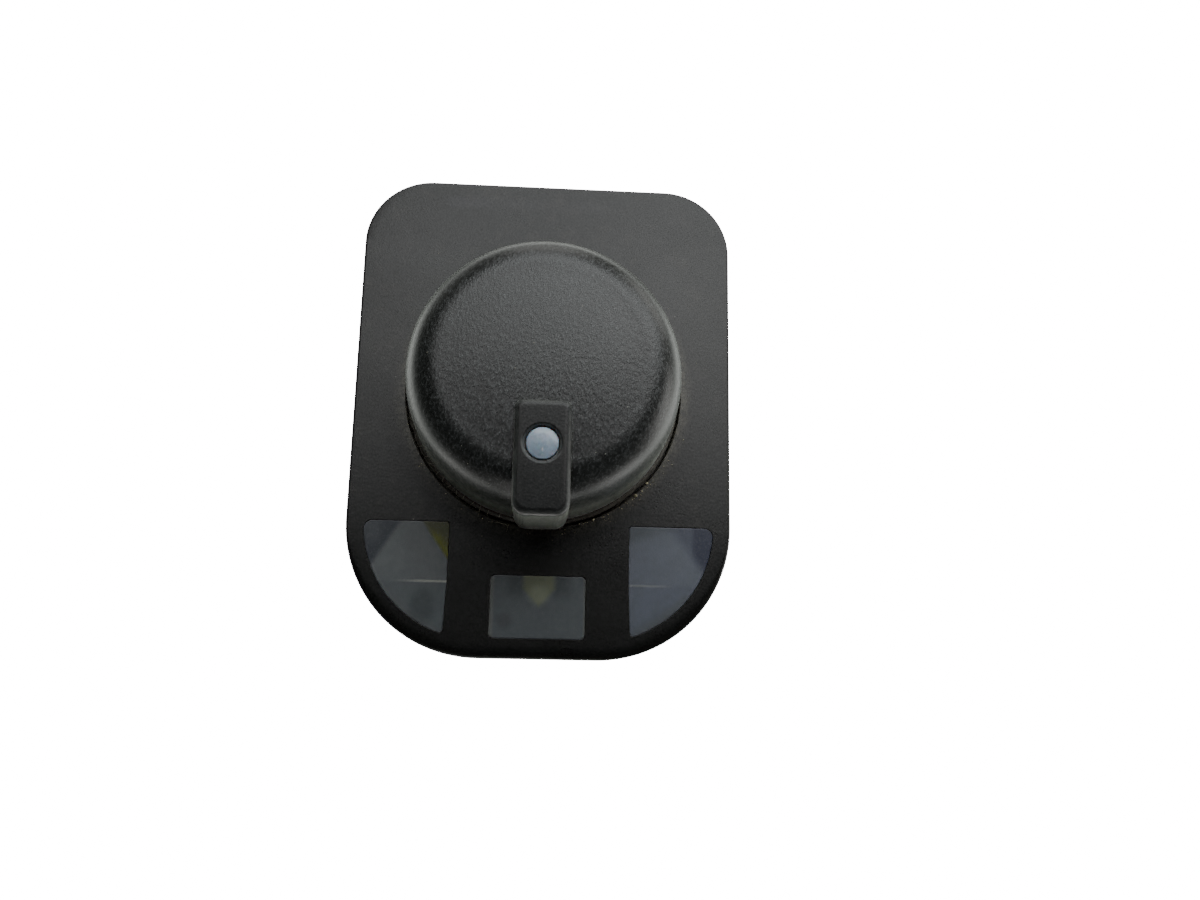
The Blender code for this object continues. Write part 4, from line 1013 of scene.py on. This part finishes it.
def rotation(v):
    """Rotation matrix from a rotation vector."""
    v = Vector(v)
    return Matrix.Rotation(v.length, 3, v.normalized())


look = rotation((-6.22142082, -1.74022954, 0.74558286)) @ Matrix(((1, 0, 0), (0, -1, 0), (0, 0, -1)))
shift = Vector((-5.69450, -3.89429, 103.72187))
place = -(look.transposed() @ shift)
turn = look.transposed() @ Matrix(((1, 0, 0), (0, -1, 0), (0, 0, -1)))
camera.matrix_world = Matrix.Translation((place.x * MM, place.y * MM, (place.z + FACE_Z) * MM)) @ turn.to_4x4()
bpy.context.scene.camera = camera

floor = solid("floor", [(-1900, -1900, -260), (1900, -1900, -260), (1900, 1900, -260), (-1900, 1900, -260)], [[0, 1, 2, 3]])
dome = lathe("backdrop", [(0, -500)] + [(2000 * math.cos(math.radians(t)), -500 + 2000 * math.sin(math.radians(t))) for t in range(0, 90, 6)] + [(0, 1500)], 48)
fm = Mat("studio_white")
fm.set(Roughness=0.9, Specular_IOR_Level=0.1, Emission_Color=(1, 1, 1, 1), Emission_Strength=18.0)
fm.color(fm.mix(fm.noise(3, 3, 0.5), (0.90, 0.90, 0.90), (0.93, 0.93, 0.93)))
for ob in (floor, dome):
    cover_with(ob, fm)
    # seen by the lens only: the softboxes and the surround light the part
    ob.visible_diffuse = ob.visible_glossy = ob.visible_transmission = ob.visible_shadow = False

# surround: pale round the horizon and below, brighter on the right, dark overhead
world = bpy.data.worlds.new("studio")
bpy.context.scene.world = world
world.use_nodes = True
wt = world.node_tree
bg = wt.nodes["Background"]
sep = wt.nodes.new("ShaderNodeSeparateXYZ")
wt.links.new(wt.nodes.new("ShaderNodeTexCoord").outputs["Generated"], sep.inputs[0])


def span(sock, a, b, lo, hi):
    n = wt.nodes.new("ShaderNodeMapRange")
    n.interpolation_type = "SMOOTHSTEP"
    wt.links.new(sock, n.inputs["Value"])
    for k, v in (("From Min", a), ("From Max", b), ("To Min", lo), ("To Max", hi)):
        n.inputs[k].default_value = v
    return n.outputs["Result"]


up = span(sep.outputs[2], -0.60, -0.20, 1.7, 0.03)
side = span(sep.outputs[0], -0.9, 0.9, 0.95, 1.05)
mul = wt.nodes.new("ShaderNodeMath")
mul.operation = "MULTIPLY"
wt.links.new(up, mul.inputs[0])
wt.links.new(side, mul.inputs[1])
wt.links.new(mul.outputs[0], bg.inputs["Strength"])
bg.inputs["Color"].default_value = (0.97, 1.0, 0.96, 1)


def softbox(name, az, el, dist, size, power, color=(1, 1, 1)):
    """Area light aimed at the middle of the face from an azimuth and elevation."""
    d = bpy.data.lights.new(name, "AREA")
    d.shape, d.size, d.size_y, d.energy, d.color = "RECTANGLE", size[0] * MM, size[1] * MM, power, color
    ob = bpy.data.objects.new(name, d)
    bpy.context.scene.collection.objects.link(ob)
    e, a = math.radians(el), math.radians(az)
    aim = Vector((0, 0, (FACE_Z + 3) * MM))
    ob.location = aim + Vector((math.cos(e) * math.cos(a), math.cos(e) * math.sin(a), math.sin(e))) * dist * MM
    ob.rotation_euler = (aim - ob.location).to_track_quat("-Z", "Y").to_euler()
    ob.visible_camera = False
    return ob


WARM, COOL = (1.0, 0.99, 0.96), (0.96, 0.99, 1.0)
# broad light from above the far edge and from the right
softbox("far_high", 90, 55, 200, (100, 100), 0.053, COOL)
softbox("far_mid", 90, 38, 200, (100, 100), 0.066, COOL)
softbox("right_mid", 45, 38, 200, (100, 100), 0.097, COOL)
softbox("near_right", 50, 62, 115, (57, 57), 0.023)
softbox("near_left", 130, 62, 115, (57, 57), 0.0142)
softbox("near_left_low", 130, 45, 115, (57, 57), 0.002)
# low lights that catch the rims
for _az, _el, _w in ((0, 5, 0.070), (45, 5, 0.060), (90, 5, 0.048), (130, 0, 0.008), (350, -15, 0.035), (315, -20, 0.055), (270, -28, 0.056), (225, -24, 0.034), (258, 6, 0.028)):
    softbox("rim_%d" % _az, _az, _el, 200, (100, 100), _w, WARM)

# ----------------------------------------------------------------- finish
bpy.context.view_layer.update()
